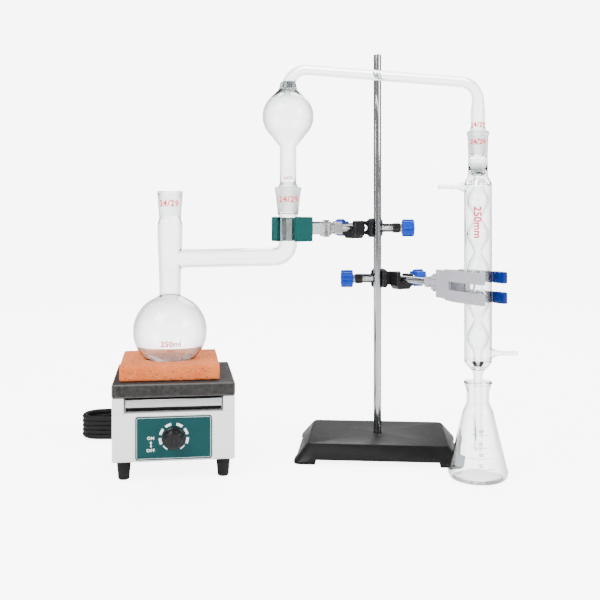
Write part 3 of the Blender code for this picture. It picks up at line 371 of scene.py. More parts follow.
def glass_finish(name, tint=(0.975, 0.985, 0.985), edge=(0.004, 0.006, 0.007), power=1.35):
    """Clear borosilicate: light passes straight through, and its base colour is darkened towards its edges as painted
    shade; ground joints frost.
    """
    made = Finish(name, roughness=0.0, IOR=1.47, Transmission_Weight=1.0)
    facing = made.node("ShaderNodeLayerWeight", {"Blend": 0.5}, output="Facing")
    ground = made.attribute("ground")
    # painted shade: the base colour goes from the tint to the near-black edge colour as the surface turns away from
    # the view
    clear = made.mix(((facing - 0.12) * 1.22).clamp().power(power), (*tint, 1), (*edge, 1))
    clear = made.mix(made.attribute("seam"), clear, (0.22, 0.24, 0.25, 1))
    made.feed("Base Color", made.mix(ground, clear, (0.84, 0.86, 0.86, 1)))
    made.feed("Roughness", ground * (made.noise(900, 2) * 0.25 + 0.42) + 0.01)
    made.bump(made.noise(38, 2, 0.4), 0.0004, 0.25)
    return made.material


def print_finish(name, colour):
    """Fired-on enamel print, slightly uneven."""
    made = Finish(name, colour, 0.45)
    pale = tuple(min(1, c * 1.25 + 0.02) for c in colour)
    made.feed("Base Color", made.mix(made.noise(500) * 0.5, (*colour, 1), (*pale, 1)))
    made.bump(made.noise(1200), 0.00005, 0.4)
    return made.material


def cast_paint(name, colour, roughness, grain=0.00025, coat=0.0, worn=None):
    """Painted or bare casting: fine pebbled skin, patchy gloss, and wear where edges stand proud."""
    made = Finish(name, colour, roughness, Coat_Weight=coat, Coat_Roughness=0.12, Specular_IOR_Level=0.15)
    light = tuple(min(1, c * 1.4 + 0.004) for c in colour)
    shade = made.mix(made.noise(60, 4) * 0.8, (*colour, 1), (*light, 1))
    if worn:
        shade = made.mix(made.edge_wear(), shade, (*worn, 1))
    made.feed("Base Color", shade)
    made.feed("Roughness", made.noise(90) * 0.22 + (roughness - 0.11))
    made.bump(made.noise(700, 3) + made.noise(120, 2) * 0.6, grain, 0.5)
    return made.material


def metal_finish(name, colour, roughness, stretch=(1, 1, 1), grain=0.00006):
    """Plated or brushed metal with faint drawn lines."""
    made = Finish(name, colour, roughness, 1.0)
    made.feed("Base Color", made.mix(made.noise(45, 3) * 0.6, (*colour, 1), (*(c * 0.82 for c in colour), 1)))
    made.feed("Roughness", made.noise(300, 2, stretch=stretch) * 0.10 + (roughness - 0.04))
    made.bump(made.noise(600, 2, stretch=stretch), grain, 0.35)
    return made.material


def plastic_finish(name, colour, roughness, coat=0.0, grain=0.00008):
    """Moulded plastic or rubber: even colour with a slight cloud, and a fine skin."""
    made = Finish(name, colour, roughness, Coat_Weight=coat, Coat_Roughness=0.1, Specular_IOR_Level=0.2)
    deep = tuple(c * 0.82 for c in colour)
    made.feed("Base Color", made.mix(made.noise(70, 3), (*deep, 1), (*colour, 1)))
    made.feed("Roughness", made.noise(150) * 0.16 + (roughness - 0.08))
    made.bump(made.noise(1400, 2), grain, 0.4)
    return made.material


def brick_finish():
    """Insulating firebrick: orange clay with pale grog, pores pressed in and painted darker as painted shade, and soft
    colour clouds.
    """
    made = Finish("firebrick", (0.86, 0.42, 0.20), 0.95)
    cloud = made.noise(28, 4, 0.6)
    colour = made.mix((cloud * 1.7 - 0.35).clamp(), (0.62, 0.105, 0.014, 1), (0.74, 0.20, 0.045, 1))
    grog = ((made.noise(420, 3, 0.7) - 0.58) * 9).clamp()
    colour = made.mix(grog * 0.5, colour, (0.90, 0.42, 0.18, 1))
    cells = made.node("ShaderNodeTexVoronoi", {"Vector": made.place(), "Scale": 240.0}, output="Distance")
    pores_with_shade = ((0.27 - cells) * 9 * made.noise(90)).clamp()
    # painted shade: the pores are darkened in colour where the bump presses them in
    colour = made.mix(pores_with_shade * 0.8, colour, (0.30, 0.07, 0.02, 1))
    made.feed("Base Color", colour)
    made.bump(made.noise(300, 4, 0.7) - pores_with_shade * 1.4 + made.noise(60, 3) * 0.8, 0.0009, 0.8)
    return made.material


def plate_finish():
    """Cast heating plate: black, heat-bloomed brown-grey, pitted, with bare scuffs along its edges."""
    made = Finish("heating_plate", (0.01, 0.01, 0.01), 0.62, Specular_IOR_Level=0.12)
    bloom = (made.noise(34, 5, 0.65) * 1.8 - 0.55).clamp()
    colour = made.mix(bloom, (0.002, 0.002, 0.002, 1), (0.012, 0.011, 0.010, 1))
    scuff = ((made.noise(160, 5, 0.75, (1, 1, 0.35)) - 0.60) * 8).clamp()
    colour = made.mix(scuff * 0.55, colour, (0.07, 0.066, 0.062, 1))
    made.feed("Base Color", made.mix(made.edge_wear(0.505, 0.56) * 0.5, colour, (0.17, 0.165, 0.16, 1)))
    made.feed("Roughness", made.noise(120) * 0.35 + 0.42)
    made.bump(made.noise(420, 4, 0.7) + made.noise(80, 3), 0.0005, 0.6)
    return made.material


def enamel_finish():
    """White powder coat: faint orange peel, a little grime in random patches."""
    made = Finish("case_white", (0.86, 0.86, 0.85), 0.32, Coat_Weight=0.25, Coat_Roughness=0.12)
    grime = ((made.noise(24, 4) - 0.52) * 3).clamp()
    made.feed("Base Color", made.mix(grime * 0.25, (0.88, 0.88, 0.87, 1), (0.74, 0.73, 0.70, 1)))
    made.feed("Roughness", made.noise(80) * 0.14 + 0.26)
    made.bump(made.noise(260, 2), 0.00018, 0.4)
    return made.material


GLASS = glass_finish("clear_glass")
RED_PRINT = print_finish("red_print", (0.80, 0.006, 0.03))
WHITE_PRINT = print_finish("white_print", (0.86, 0.90, 0.90))
GREY_PRINT = print_finish("grey_print", (0.30, 0.34, 0.37))
BLACK_PAINT = cast_paint("boss_black", (0.006, 0.006, 0.007), 0.34, worn=(0.06, 0.06, 0.06), coat=0.15)
BASE_PAINT = cast_paint("base_black", (0.003, 0.003, 0.0035), 0.42, grain=0.00012, coat=0.04)
FORK_PAINT = cast_paint("fork_grey", (0.33, 0.33, 0.37), 0.42, worn=(0.45, 0.45, 0.48))
CHROME = metal_finish("rod_chrome", (0.42, 0.43, 0.45), 0.10, (1, 1, 0.02))
STEEL = metal_finish("bright_steel", (0.66, 0.66, 0.67), 0.26, (1, 1, 0.1))
REFLECTOR = metal_finish("reflector_steel", (0.60, 0.61, 0.62), 0.34, (0.05, 1, 1))
BLUE = plastic_finish("knob_blue", (0.0, 0.038, 0.44), 0.34, coat=0.15)
TEAL_RUBBER = plastic_finish("pad_teal", (0.0, 0.072, 0.068), 0.60, grain=0.0002)
VINYL = plastic_finish("sleeve_blue", (0.0, 0.016, 0.19), 0.36, coat=0.1)
BLACK_PLASTIC = plastic_finish("dial_black", (0.005, 0.005, 0.006), 0.36, coat=0.2)
BLACK_RUBBER = plastic_finish("rubber_black", (0.008, 0.008, 0.009), 0.62, grain=0.00015)
LABEL_TEAL = plastic_finish("label_teal", (0.0, 0.048, 0.052), 0.45, coat=0.0, grain=0.00004)
BRICK = brick_finish()
PLATE_IRON = plate_finish()
WHITE_CASE = enamel_finish()


# ---------------------------------------------------------------- glass
WALL = 0.0017
LARGE = (0.012, 0.029)             # 24/29 joint: bore radius at its top, ground length
SMALL = (0.0094, 0.026)            # 19/26 joint
TAPER = 0.05
BEAD = 0.0009                      # radius of a fire-polished rim


def socket_outside(rim, joint, lip, waist, neck, run=0.010, bead=0.0024):
    """A socket's outside, upwards: a shoulder from the neck to the waist, the ground cone, and a round bead."""
    low = rim - joint[1] - 0.002
    shoulder = np.linspace(low - run, low, 14)
    turn = np.linspace(-pi / 2, pi / 2, 11)
    cone_top = lip - 0.0009 if bead > 0.003 else lip - 0.0004
    return np.concatenate((
        np.stack((neck + (waist - neck) * ease(shoulder, low - run, low), shoulder), 1),
        [[waist + (cone_top - waist) * 0.27, low + 0.008], [cone_top, rim - bead - 0.0006]],
        np.stack((lip - BEAD + BEAD * np.cos(turn), rim - bead / 2 + bead / 2 * np.sin(turn)), 1)))


def socket_inside(rim, joint, bore):
    """A socket's bore, upwards: the tube's bore, a step out to the foot of the cone, the cone, and a round rim."""
    top, length = joint
    foot = rim - length
    heights = np.linspace(foot - 0.004, foot, 8)
    radii = bore + (top - TAPER * length - bore) * ease(heights, foot - 0.004, foot)
    corner = np.linspace(0, pi / 2, 6)
    heights = np.concatenate((heights, [rim - BEAD], rim - BEAD + BEAD * np.sin(corner),
                              [rim + 0.006, rim + 0.006]))
    radii = np.concatenate((radii, [top], top + BEAD * (1 - np.cos(corner)), [top + BEAD, 0]))
    return np.stack((radii, heights), 1)


def cone_outside(rim, joint, stem):
    """A ground cone's outside, upwards from the axis at its tip, to where it draws in to its stem."""
    top, length = joint
    top -= GAP
    foot = rim - length
    heights = np.concatenate(([foot, foot, foot + 0.0006, rim + 0.001], np.linspace(rim + 0.0015, rim + 0.005, 8)))
    low = top - TAPER * length
    radii = np.concatenate(([0, low - 0.0006, low, top + 0.00005],
                            top + (stem - top) * ease(heights[4:], rim + 0.001, rim + 0.005)))
    return np.stack((radii, heights), 1)


def bulb(radius, centre, above, blend=0.012, steps=90):
    """A sphere that flows into a neck above: r = smooth_max(+-sqrt|R^2 - h^2|, neck), h past the sphere's top."""
    ball = -radius * np.cos(np.linspace(0, pi, steps))
    heights = np.concatenate((ball, radius + np.linspace(0.0003, 0.004, 10)))
    square = radius ** 2 - heights ** 2
    sphere = np.sign(square) * np.sqrt(np.abs(square))
    sphere[0] = 0
    radii = np.where(heights > 0, smooth_max(sphere, np.full(len(heights), above), blend), sphere)
    return np.stack((radii, centre + heights), 1)


def pear(radius, centre, foot, roof, steps=60):
    """A sphere with a cone drawn tangent to it at each end: foot and roof are (radius, distance from the middle)."""

    def touch(end):
        return atan2(end[0], end[1]) + acos(radius / sqrt(end[0] ** 2 + end[1] ** 2))

    turn = np.linspace(touch(foot), pi - touch(roof), steps)
    ball = np.stack((radius * np.sin(turn), centre - radius * np.cos(turn)), 1)
    return np.concatenate(([[foot[0], centre - foot[1]]], ball, [[roof[0], centre + roof[1]]]))


def frosted(piece, *joints, seams=()):
    """Marks the ground cone of each (axis, rim, joint), and the thick welds between heights near each axis."""
    mesh = piece.data
    points = np.empty(len(mesh.vertices) * 3)
    mesh.vertices.foreach_get("co", points)
    points = points.reshape(-1, 3)
    ground = np.zeros(len(points))
    for axis, rim, (top, length) in joints:
        radius = np.hypot(points[:, 0] - axis[0], points[:, 1] - axis[1])
        cone = top - TAPER * (rim - points[:, 2])
        inside = (points[:, 2] > rim - length - 0.0005) & (points[:, 2] < rim + 0.0012)
        ground[(np.abs(radius - cone) < 0.0006) & inside] = 1
    mesh.attributes.new("ground", "FLOAT", "POINT").data.foreach_set("value", ground)
    weld = np.zeros(len(points))
    for axis, low, high in seams:
        radius = np.hypot(points[:, 0] - axis[0], points[:, 1] - axis[1])
        weld[(radius > 0.004) & (radius < 0.014) & (points[:, 2] > low) & (points[:, 2] < high)] = 1
    mesh.attributes.new("seam", "FLOAT", "POINT").data.foreach_set("value", weld)


def make_flask():
    """Bulb, long neck with a socket, and a side arm that turns up into the second socket."""
    low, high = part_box("boiling_flask")
    radius = 0.043
    centre = low.z + radius
    rim = high.z - (0.3249 - 0.3202)                 # the neck's rim stands this far below the side socket's
    axis = Matrix.Translation((FLASK.x, FLASK.y, 0))
    side = Matrix.Translation((SIDE.x, SIDE.y, 0))
    neck_low, neck_high = 0.0124, 0.0146

    def body(shrink):
        rows = bulb(radius - shrink, centre, neck_low - shrink)
        foot = rim - LARGE[1] - 0.013
        heights = np.linspace(centre + radius + 0.005, foot, 16)
        radii = neck_low - shrink + (neck_high - neck_low) * ease(heights, heights[0], heights[-1])
        return np.concatenate((rows, np.stack((radii, heights), 1)))

    outer = turned("boiling_flask_glass", np.concatenate((
        body(0), socket_outside(rim, LARGE, 0.0152, 0.0127, neck_high)[1:], [[0, rim]])), 96, place=axis)
    inner = turned("bore", np.concatenate((body(WALL), socket_inside(rim, LARGE, neck_high - WALL))), 96, place=axis)
    arm_radius = 0.0106
    arm_height = 0.2405
    corners = [(FLASK.x, FLASK.y, arm_height), (SIDE.x, SIDE.y, arm_height + 0.003),
               (SIDE.x, SIDE.y, SIDE_RIM - LARGE[1] - 0.008)]
    path = bent_path(corners, arm_radius + 0.005)
    root = np.linalg.norm(path - path[0], axis=1)
    swell = 0.0018 * np.exp(-np.clip(root - 0.012, 0, 1) / 0.004)
    arm = tube("arm", path, arm_radius + swell, 64)
    bore_path = np.concatenate((path[:1] + [[0.0006, 0, 0]], path[1:]))
    arm_bore = tube("arm_bore", bore_path, arm_radius + swell - WALL, 64)
    side_outer = turned("side", np.concatenate(([[0, path[-1][2] - 0.004]], socket_outside(
        SIDE_RIM, LARGE, 0.0158, 0.0122, arm_radius + 0.00002, 0.004, 0.0050), [[0, SIDE_RIM]])), 64, place=side)
    bore = arm_radius - WALL - 0.00005
    side_inner = turned("side_bore", np.concatenate(([[0, path[-1][2] - 0.006], [bore, path[-1][2] - 0.006]],
                        socket_inside(SIDE_RIM, LARGE, bore))), 64, place=side)
    piece = carve(outer, ("UNION", arm), ("UNION", side_outer), ("DIFFERENCE", inner),
                  ("DIFFERENCE", arm_bore), ("DIFFERENCE", side_inner))
    frosted(piece, ((FLASK.x, FLASK.y), rim, LARGE), ((SIDE.x, SIDE.y), SIDE_RIM, LARGE))
    dressed(piece, GLASS, "upper_clamp", "glass", "boiling_flask")
    return centre, radius, rim


def make_head():
    """Stem and bulb over the side socket, the dip tube inside, and the long arm to the condenser."""
    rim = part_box("condenser")[1].z
    centre, radius, stem = 0.4085, 0.030, 0.0096
    over = Vector((DROP.x - SIDE.x, DROP.y - SIDE.y, 0)).normalized()
    side = Matrix.Translation((SIDE.x, SIDE.y, 0))
    ring, neck_top = 0.0108, centre + 0.0405
    ball = pear(radius, centre, (stem, 0.0361), (ring, 0.0315))
    outer = turned("splash_head_glass", np.concatenate((
        cone_outside(SIDE_RIM, LARGE, stem), ball, [[ring + 0.0002, centre + 0.0322], [ring - 0.0003, centre + 0.0332],
        [0.0092, neck_top - 0.0015], [0.0084, neck_top - 0.0003], [0, neck_top]])), 80, place=side)
    space = pear(radius - 0.0014, centre, (stem - WALL, 0.0355), (ring - 0.0012, 0.0300))
    foot = SIDE_RIM - LARGE[1] - 0.01
    inner = turned("space", np.concatenate((
        [[0, foot], [stem - WALL, foot]], space, [[0.0080, space[-1][1] + 0.0010], [0, space[-1][1] + 0.0010]])),
        80, place=side)

    start = Vector((SIDE.x, SIDE.y, neck_top - 0.003))
    turn = Vector((SIDE.x, SIDE.y, 0.4648))
    end = Vector((DROP.x, DROP.y, 0.4395))
    drop = Vector((DROP.x, DROP.y, rim + 0.006))
    path = bent_path([start, turn, end, drop], 0.021, 20)
    travelled = np.concatenate(([0], np.cumsum(np.linalg.norm(np.diff(path, axis=0), axis=1))))
    left = travelled[-1] - travelled
    radii = 0.0060 + 0.0026 * (1 - ease(travelled, 0.0, 0.030)) + 0.0018 * (1 - ease(left, 0.012, 0.040))
    arm = tube("arm", path, radii, 48)
    arm_bore = tube("arm_bore", path[1:], np.maximum(radii[1:] - 0.0016, 0.0), 48)
    drop_place = Matrix.Translation((DROP.x, DROP.y, 0))
    cone = turned("cone", np.concatenate((cone_outside(rim, SMALL, 0.0078), [[0.0078, rim + 0.0075],
                  [0, rim + 0.0075]])), 64, place=drop_place)
    outlet = turned("outlet", [[0, rim - 0.04], [0.0061, rim - 0.04], [0.0061, rim + 0.006], [0, rim + 0.008]], 48,
                    place=drop_place)
    roof = space[-1][1] + 0.0010
    dip_path = bent_path([start - UP * (start.z - roof - 0.002) - over * 0.0008,
                          Vector((SIDE.x, SIDE.y, roof - 0.0055)) - over * 0.0012,
                          Vector((SIDE.x, SIDE.y, roof - 0.0190)) - over * 0.0158], 0.008, 10, 0.002)
    dip = tube("dip", dip_path, 0.0038, 32)
    below = dip_path[-1] + (dip_path[-1] - dip_path[-2])
    above = dip_path[0] + np.array([0, 0, 0.010])
    dip_bore = tube("dip_bore", np.concatenate(([above], dip_path, [below])), 0.0022, 32)
    piece = carve(outer, ("UNION", arm), ("UNION", cone), ("DIFFERENCE", inner), ("DIFFERENCE", arm_bore),
                  ("DIFFERENCE", outlet), ("UNION", dip), ("DIFFERENCE", dip_bore))
    frosted(piece, ((SIDE.x, SIDE.y), SIDE_RIM, LARGE), ((DROP.x, DROP.y), rim, SMALL),
            seams=[((SIDE.x, SIDE.y), centre + 0.0312, neck_top + 0.0005)])
    dressed(piece, GLASS, "head_body", "glass", "splash_head")


def make_condenser():
    """A jacket with two hose barbs round an inner tube blown into a row of bulbs; the water space is hollow."""
    low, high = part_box("condenser")
    rim, tip = high.z, low.z
    jacket, seam_top, seam_foot = 0.0152, rim - 0.050, tip + 0.090
    neck, swell, wall = 0.0049, 0.0125, 0.0012
    drip = 0.0049
    count, first, pitch = 5, seam_top - 0.027, 0.038
    axis = Matrix.Translation((DROP.x, DROP.y, 0))

    def inner_tube(top, foot, shrink):
        """The inner tube downwards: r = neck + (swell - neck)(0.5 + 0.5 cos 2 pi h / pitch)^0.75, h from a bulb."""
        heights = np.linspace(top, foot, 420)
        lap = (first - heights) / pitch
        wave = (0.5 + 0.5 * np.cos(2 * pi * lap)) ** 0.75 * (np.abs(lap - (count - 1) / 2) < count / 2)
        return np.stack((neck + (swell - neck) * wave - shrink, heights), 1)

    throat = 0.0108
    heights = np.linspace(seam_top, seam_top - 0.010, 16)
    shoulder = np.stack((throat + (jacket - throat) * np.sin(np.linspace(0, pi / 2, 16)), heights), 1)
    heights = np.linspace(seam_foot + 0.012, seam_foot, 16)
    hip = np.stack((drip + 0.0016 + (jacket - drip - 0.0016) * np.cos(np.linspace(0, pi / 2, 16)), heights), 1)
    outside = np.concatenate((
        socket_outside(rim, SMALL, 0.0123, 0.0106, throat, 0.006, 0.0055)[::-1], [[throat, seam_top + 0.002],
        [throat + 0.0005, seam_top + 0.001]], shoulder, hip, [[drip + 0.0010, seam_foot - 0.002],
        [drip, seam_foot - 0.006], [drip, tip + 0.018], [drip - 0.0012, tip + 0.0006], [drip - 0.0018, tip]]))
    outer = turned("condenser_glass", np.concatenate(([[0, rim]], outside, [[0, tip]])), 80, place=axis)
    inside = np.concatenate((socket_inside(rim, SMALL, throat - 0.0016)[::-1],
                             [[throat - 0.0016, seam_top + 0.004]],
                             inner_tube(seam_top - 0.003, seam_foot, wall),
                             [[drip - 0.0022, tip + 0.018], [drip - 0.0030, tip - 0.01], [0, tip - 0.01]]))
    inner = turned("inside", inside, 80, place=axis)
    water_tube = inner_tube(seam_top - 0.007, seam_foot + 0.007, 0)
    wide = jacket - wall
    water = turned("water", np.concatenate((water_tube, [[wide, seam_foot + 0.0125], [wide, seam_top - 0.0105],
                   [water_tube[0][0] + 0.0015, seam_top - 0.0060]])), 80, loop=True, place=axis)
    steps, bores = [], []
    for node_height, hand in ((rim - 0.062, -1), (tip + 0.109, 1)):
        reach = (DROP.x - low.x) if hand < 0 else (high.x - DROP.x)
        rows = [[0, 0.0110], [0.0084, 0.0110]]
        out = np.linspace(0.0125, 0.0270, 14)
        rows += np.stack((0.0084 - (0.0084 - 0.0023) * ease(out, 0.0085, 0.0270) ** 0.75, out), 1).tolist()
        for ring in (0.0300, 0.0345, 0.0390):
            rows += [[0.0022, ring - 0.0010], [0.0029, ring], [0.0024, ring + 0.0022]]
        rows += [[0.0023, reach - 0.0006], [0.0018, reach], [0, reach]]
        place = put(DROP.x, DROP.y, node_height, (hand, 0, 0))
        steps.append(("UNION", turned("barb", rows, 32, place=place)))
        bore = [[0, 0.0125], [0.0056, 0.0125], [0.0032, 0.018], [0.0014, 0.026], [0.0014, reach + 0.004],
                [0, reach + 0.004]]
        bores.append(("DIFFERENCE", turned("barb_bore", bore, 24, place=place)))
    piece = carve(outer, *steps, ("DIFFERENCE", water), *bores, ("DIFFERENCE", inner))
    frosted(piece, ((DROP.x, DROP.y), rim, SMALL), seams=[((DROP.x, DROP.y), seam_top + 0.0015, seam_top + 0.0042)])
    dressed(piece, GLASS, "lower_clamp", "glass", "condenser")


def make_receiver():
    """A conical flask: flat foot with a round heel, straight cone, short neck and a rolled lip."""
    height, radius, neck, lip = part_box("receiver_flask")[1].z, 0.033, 0.0124, 0.0157
    heel = np.linspace(-pi / 2, pi / 7, 12)
    curve = np.stack((radius - 0.0075 + 0.0075 * np.cos(heel), 0.0075 + 0.0075 * np.sin(heel)), 1)
    slant_top = height * 0.70
    slant = np.stack((np.linspace(curve[-1][0] - 0.0006, neck + 0.0042, 20),
                      np.linspace(curve[-1][1] + 0.002, slant_top, 20)), 1)
    fall = slant_top + 0.001
    shoulder_heights = np.linspace(fall, height * 0.80, 14)
    narrowing = 1 - ease(shoulder_heights, fall - 0.003, height * 0.80)
    shoulder = np.stack((neck + 0.0040 * narrowing, shoulder_heights), 1)
    up = np.linspace(height * 0.82, height - 0.0035, 14)
    upper = np.stack((neck + (lip - 0.0012 - neck) * ease(up, height * 0.885, height - 0.003), up), 1)
    roll = np.linspace(-pi / 2, pi, 12)
    rim = np.stack((lip - 0.0016 + 0.0016 * np.cos(roll), height - 0.0017 + 0.0016 * np.sin(roll)), 1)
    outside = np.concatenate((curve, slant, shoulder, upper))
    inside = outside[3:][::-1] - [WALL * 0.9, 0]
    floor = [[radius - 0.0105, 0.0026], [0.010, 0.0030], [0, 0.0030]]
    foot = [[0, 0.0008], [0.016, 0.0006], [0.022, 0]]
    piece = turned("receiver_glass", np.concatenate((foot, outside, rim, inside, floor)), 96,
                   place=Matrix.Translation((DROP.x, DROP.y, 0)))
    frosted(piece)
    dressed(piece, GLASS, "receiver_body", "glass", "receiver_flask")
    return height


# ---------------------------------------------------------------- print on the glass
INK_ON_GLASS = 0.00006
PRINT_PROUD = 0.00012              # print's middle, out from the glass


def lettering(text, size, spacing=1.0):
    """A flat text's points and triangles, centred on the origin."""
    curve = bpy.data.curves.new("text", "FONT")
    curve.body = text
    curve.size = size
    curve.space_character = spacing
    curve.align_x = "CENTER"
    curve.align_y = "CENTER"
    curve.resolution_u = 4
    curve.offset = size * 0.028
    piece = linked("text", curve)
    mesh = evaluated(piece)
    bm = bmesh.new()
    bm.from_mesh(mesh)
    bmesh.ops.triangulate(bm, faces=bm.faces)
    bm.to_mesh(mesh)
    bm.free()
    points = np.empty(len(mesh.vertices) * 3)
    mesh.vertices.foreach_get("co", points)
    faces = np.array([face.vertices[:] for face in mesh.polygons])
    bpy.data.objects.remove(piece)
    return points.reshape(-1, 3), faces


def printed(name, points, faces, axis, radius, height, body, material, slot, facing=-pi / 2, upright=False):
    """Wraps flat print round an upright axis: x becomes an angle at the glass's radius, y a height."""
    across, up = points[:, 0], points[:, 1]
    if upright:
        across, up = points[:, 1], -points[:, 0]
    heights = height + up
    radii = radius(heights) if callable(radius) else radius
    radii = radii + PRINT_PROUD
    angle = facing + across / radii
    wrapped = np.stack((axis[0] + radii * np.cos(angle), axis[1] + radii * np.sin(angle), heights), -1)
    return inked(name, wrapped, faces.tolist(), INK_ON_GLASS, body, material, slot)


def bar(width, height, columns=24):
    """A flat bar of print, cut into columns so that it can follow a round surface."""
    x = np.linspace(-width / 2, width / 2, columns + 1)
    points = np.concatenate([np.stack((x, 0 * x + edge, 0 * x), 1) for edge in (-height / 2, height / 2)])
    i = np.arange(columns)
    return points, np.stack((i, i + 1, i + columns + 2, i + columns + 1), 1)


def make_prints(bulb_centre, bulb_radius, flask_rim, receiver_height):
    """Sizes in red on the flask, head and condenser; graduations and a writing patch on the receiver."""
    flask, side, drop = (FLASK.x, FLASK.y), (SIDE.x, SIDE.y), (DROP.x, DROP.y)

    def towards(axis, turn=0.0):
        return atan2(EYE.y - axis[1], EYE.x - axis[0]) + turn

    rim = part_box("condenser")[1].z
    points, faces = lettering("24/29", 0.0098, 1.12)
    socket = lambda rim: (lambda z: 0.0146 - (0.0146 - 0.0127) * (rim - z) / 0.031)
    printed("flask_size_print", points, faces, flask, socket(flask_rim), flask_rim - 0.0145, "upper_clamp",
            RED_PRINT, "glass", towards(flask, -0.12))
    printed("side_size_print", points, faces, side, socket(SIDE_RIM), SIDE_RIM - 0.0145, "upper_clamp",
            RED_PRINT, "glass", towards(side, 0.05))
    points, faces = lettering("24/29", 0.0050)
    printed("head_size_print", points, faces, side, 0.0096, SIDE_RIM + 0.0105, "head_body", RED_PRINT, "glass",
            towards(side))
    points, faces = lettering("24/29", 0.0078, 1.05)
    printed("cone_size_print", points, faces, drop, 0.0079, rim + 0.0065, "head_body", RED_PRINT, "glass",
            towards(drop))
    printed("condenser_joint_print", points, faces, drop, lambda z: 0.0113 - 0.02 * (rim - 0.004 - z), rim - 0.0125,
            "lower_clamp", RED_PRINT, "glass", towards(drop))
    points, faces = lettering("250mm", 0.0115, 1.02)
    printed("condenser_length_print", points, faces, drop, 0.0152, rim - 0.101, "lower_clamp", RED_PRINT, "glass",
            towards(drop, -0.05), upright=True)
    points, faces = lettering("250ml", 0.0090, 1.05)
    sphere = lambda z: np.sqrt(bulb_radius ** 2 - (z - bulb_centre) ** 2)
    printed("flask_volume_print", points, faces, flask, sphere, bulb_centre - 0.0100, "upper_clamp", RED_PRINT,
            "glass", towards(flask, 0.02))

    cone = lambda z: 0.0326 - (0.0326 - 0.0166) * (z - 0.0115) / (receiver_height * 0.70 - 0.0115)
    face_on = towards(drop)
    for number, height, width in ((25, 0.0180, 0.030), (50, 0.0290, 0.026), (75, 0.0400, 0.022), (100, 0.0530, 0.018)):
        points, faces = bar(width, 0.0005)
        printed(f"graduation_{number}", points, faces, drop, cone, height, "receiver_body", GREY_PRINT, "glass",
                face_on + 0.12)
        points, faces = lettering(str(number), 0.0048)
        printed(f"graduation_number_{number}", points, faces, drop, cone, height + 0.0036, "receiver_body",
                GREY_PRINT, "glass", face_on + 0.12)
    points, faces = bar(0.013, 0.0125)
    printed("writing_patch", points, faces, drop, cone, 0.0245, "receiver_body", GREY_PRINT, "glass", face_on - 0.72)


# ---------------------------------------------------------------- stand, clamps, screws and knobs
def centre_line(node):
    """A long round CAD node's axis: its two ends, from the spread of its points, and the radius at each end."""
    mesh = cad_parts[node].data
    points = np.empty(len(mesh.vertices) * 3)
    mesh.vertices.foreach_get("co", points)
    points = np.unique(points.reshape(-1, 3).round(7), axis=0)
    centre = points.mean(axis=0)
    axis = np.linalg.svd(points - centre, full_matrices=False)[2][0]
    reach = (points - centre) @ axis
    spread = np.linalg.norm(points - centre - reach[:, None] * axis, axis=1)
    ends = [centre + axis * reach.min(), centre + axis * reach.max()]
    radii = [spread[np.abs(reach - reach.min()) < 0.002].max(), spread[np.abs(reach - reach.max()) < 0.002].max()]
    return Vector(ends[0]), Vector(ends[1]), radii[0], radii[1]


def round_bar(name, node, radius, body, material, slot, chamfer=0.0006):
    """A plain bar or pin with rounded ends, on its CAD node's axis."""
    start, end, _, _ = centre_line(node)
    length = (end - start).length
    turn = np.linspace(0, pi / 2, 5)
    foot = np.stack((radius - chamfer + chamfer * np.sin(turn), chamfer - chamfer * np.cos(turn)), 1)
    head = [[r, length - h] for r, h in foot[::-1]]
    rows = np.concatenate(([[0, 0]], foot, head, [[0, length]]))
    piece = turned(name, rows, 64, place=Matrix.Translation(start) @ along(end - start))
    return dressed(piece, material, body, slot, node)


def threaded(name, node, radius, pitch, body):
    """A thumb screw: r = R - depth * |2 frac(h / pitch - a / 2 pi) - 1| up its shank, then a round collar."""
    start, end, low, high = centre_line(node)
    if low > high:
        start, end = end, start
    length = (end - start).length
    collar = length - 0.0018
    heights = np.arange(0.0010, collar - 0.0005, pitch / 8)
    sides = 36
    angle = np.arange(sides) * 2 * pi / sides
    share = heights[:, None] / pitch - angle[None, :] / (2 * pi)
    depth = 0.00042 * ease(heights, 0.0008, 0.003) * (1 - ease(heights, collar - 0.004, collar - 0.001))
    radii = radius - depth[:, None] * np.abs(2 * (share - np.floor(share)) - 1)
    ends = [(0, 0), (radius - 0.0009, 0), (radius - 0.0004, 0.0008)]
    top = [(radius, collar), (0.0048, collar), (0.0052, collar + 0.0004), (0.0052, length - 0.0003), (0.0049, length),
           (0, length)]
    rows = [(np.full(sides, r), h) for r, h in ends] + list(zip(radii, heights))
    rows += [(np.full(sides, r), h) for r, h in top]
    points = np.concatenate([np.stack((r * np.cos(angle), r * np.sin(angle), np.full(sides, h)), 1)
                             for r, h in rows])
    place = Matrix.Translation(start) @ along(end - start)
    piece = new_piece(name, moved(points, place), grid_faces(len(rows), sides), 40)
    dressed(piece, STEEL, body, "steel", node)
    return end, (end - start).normalized()


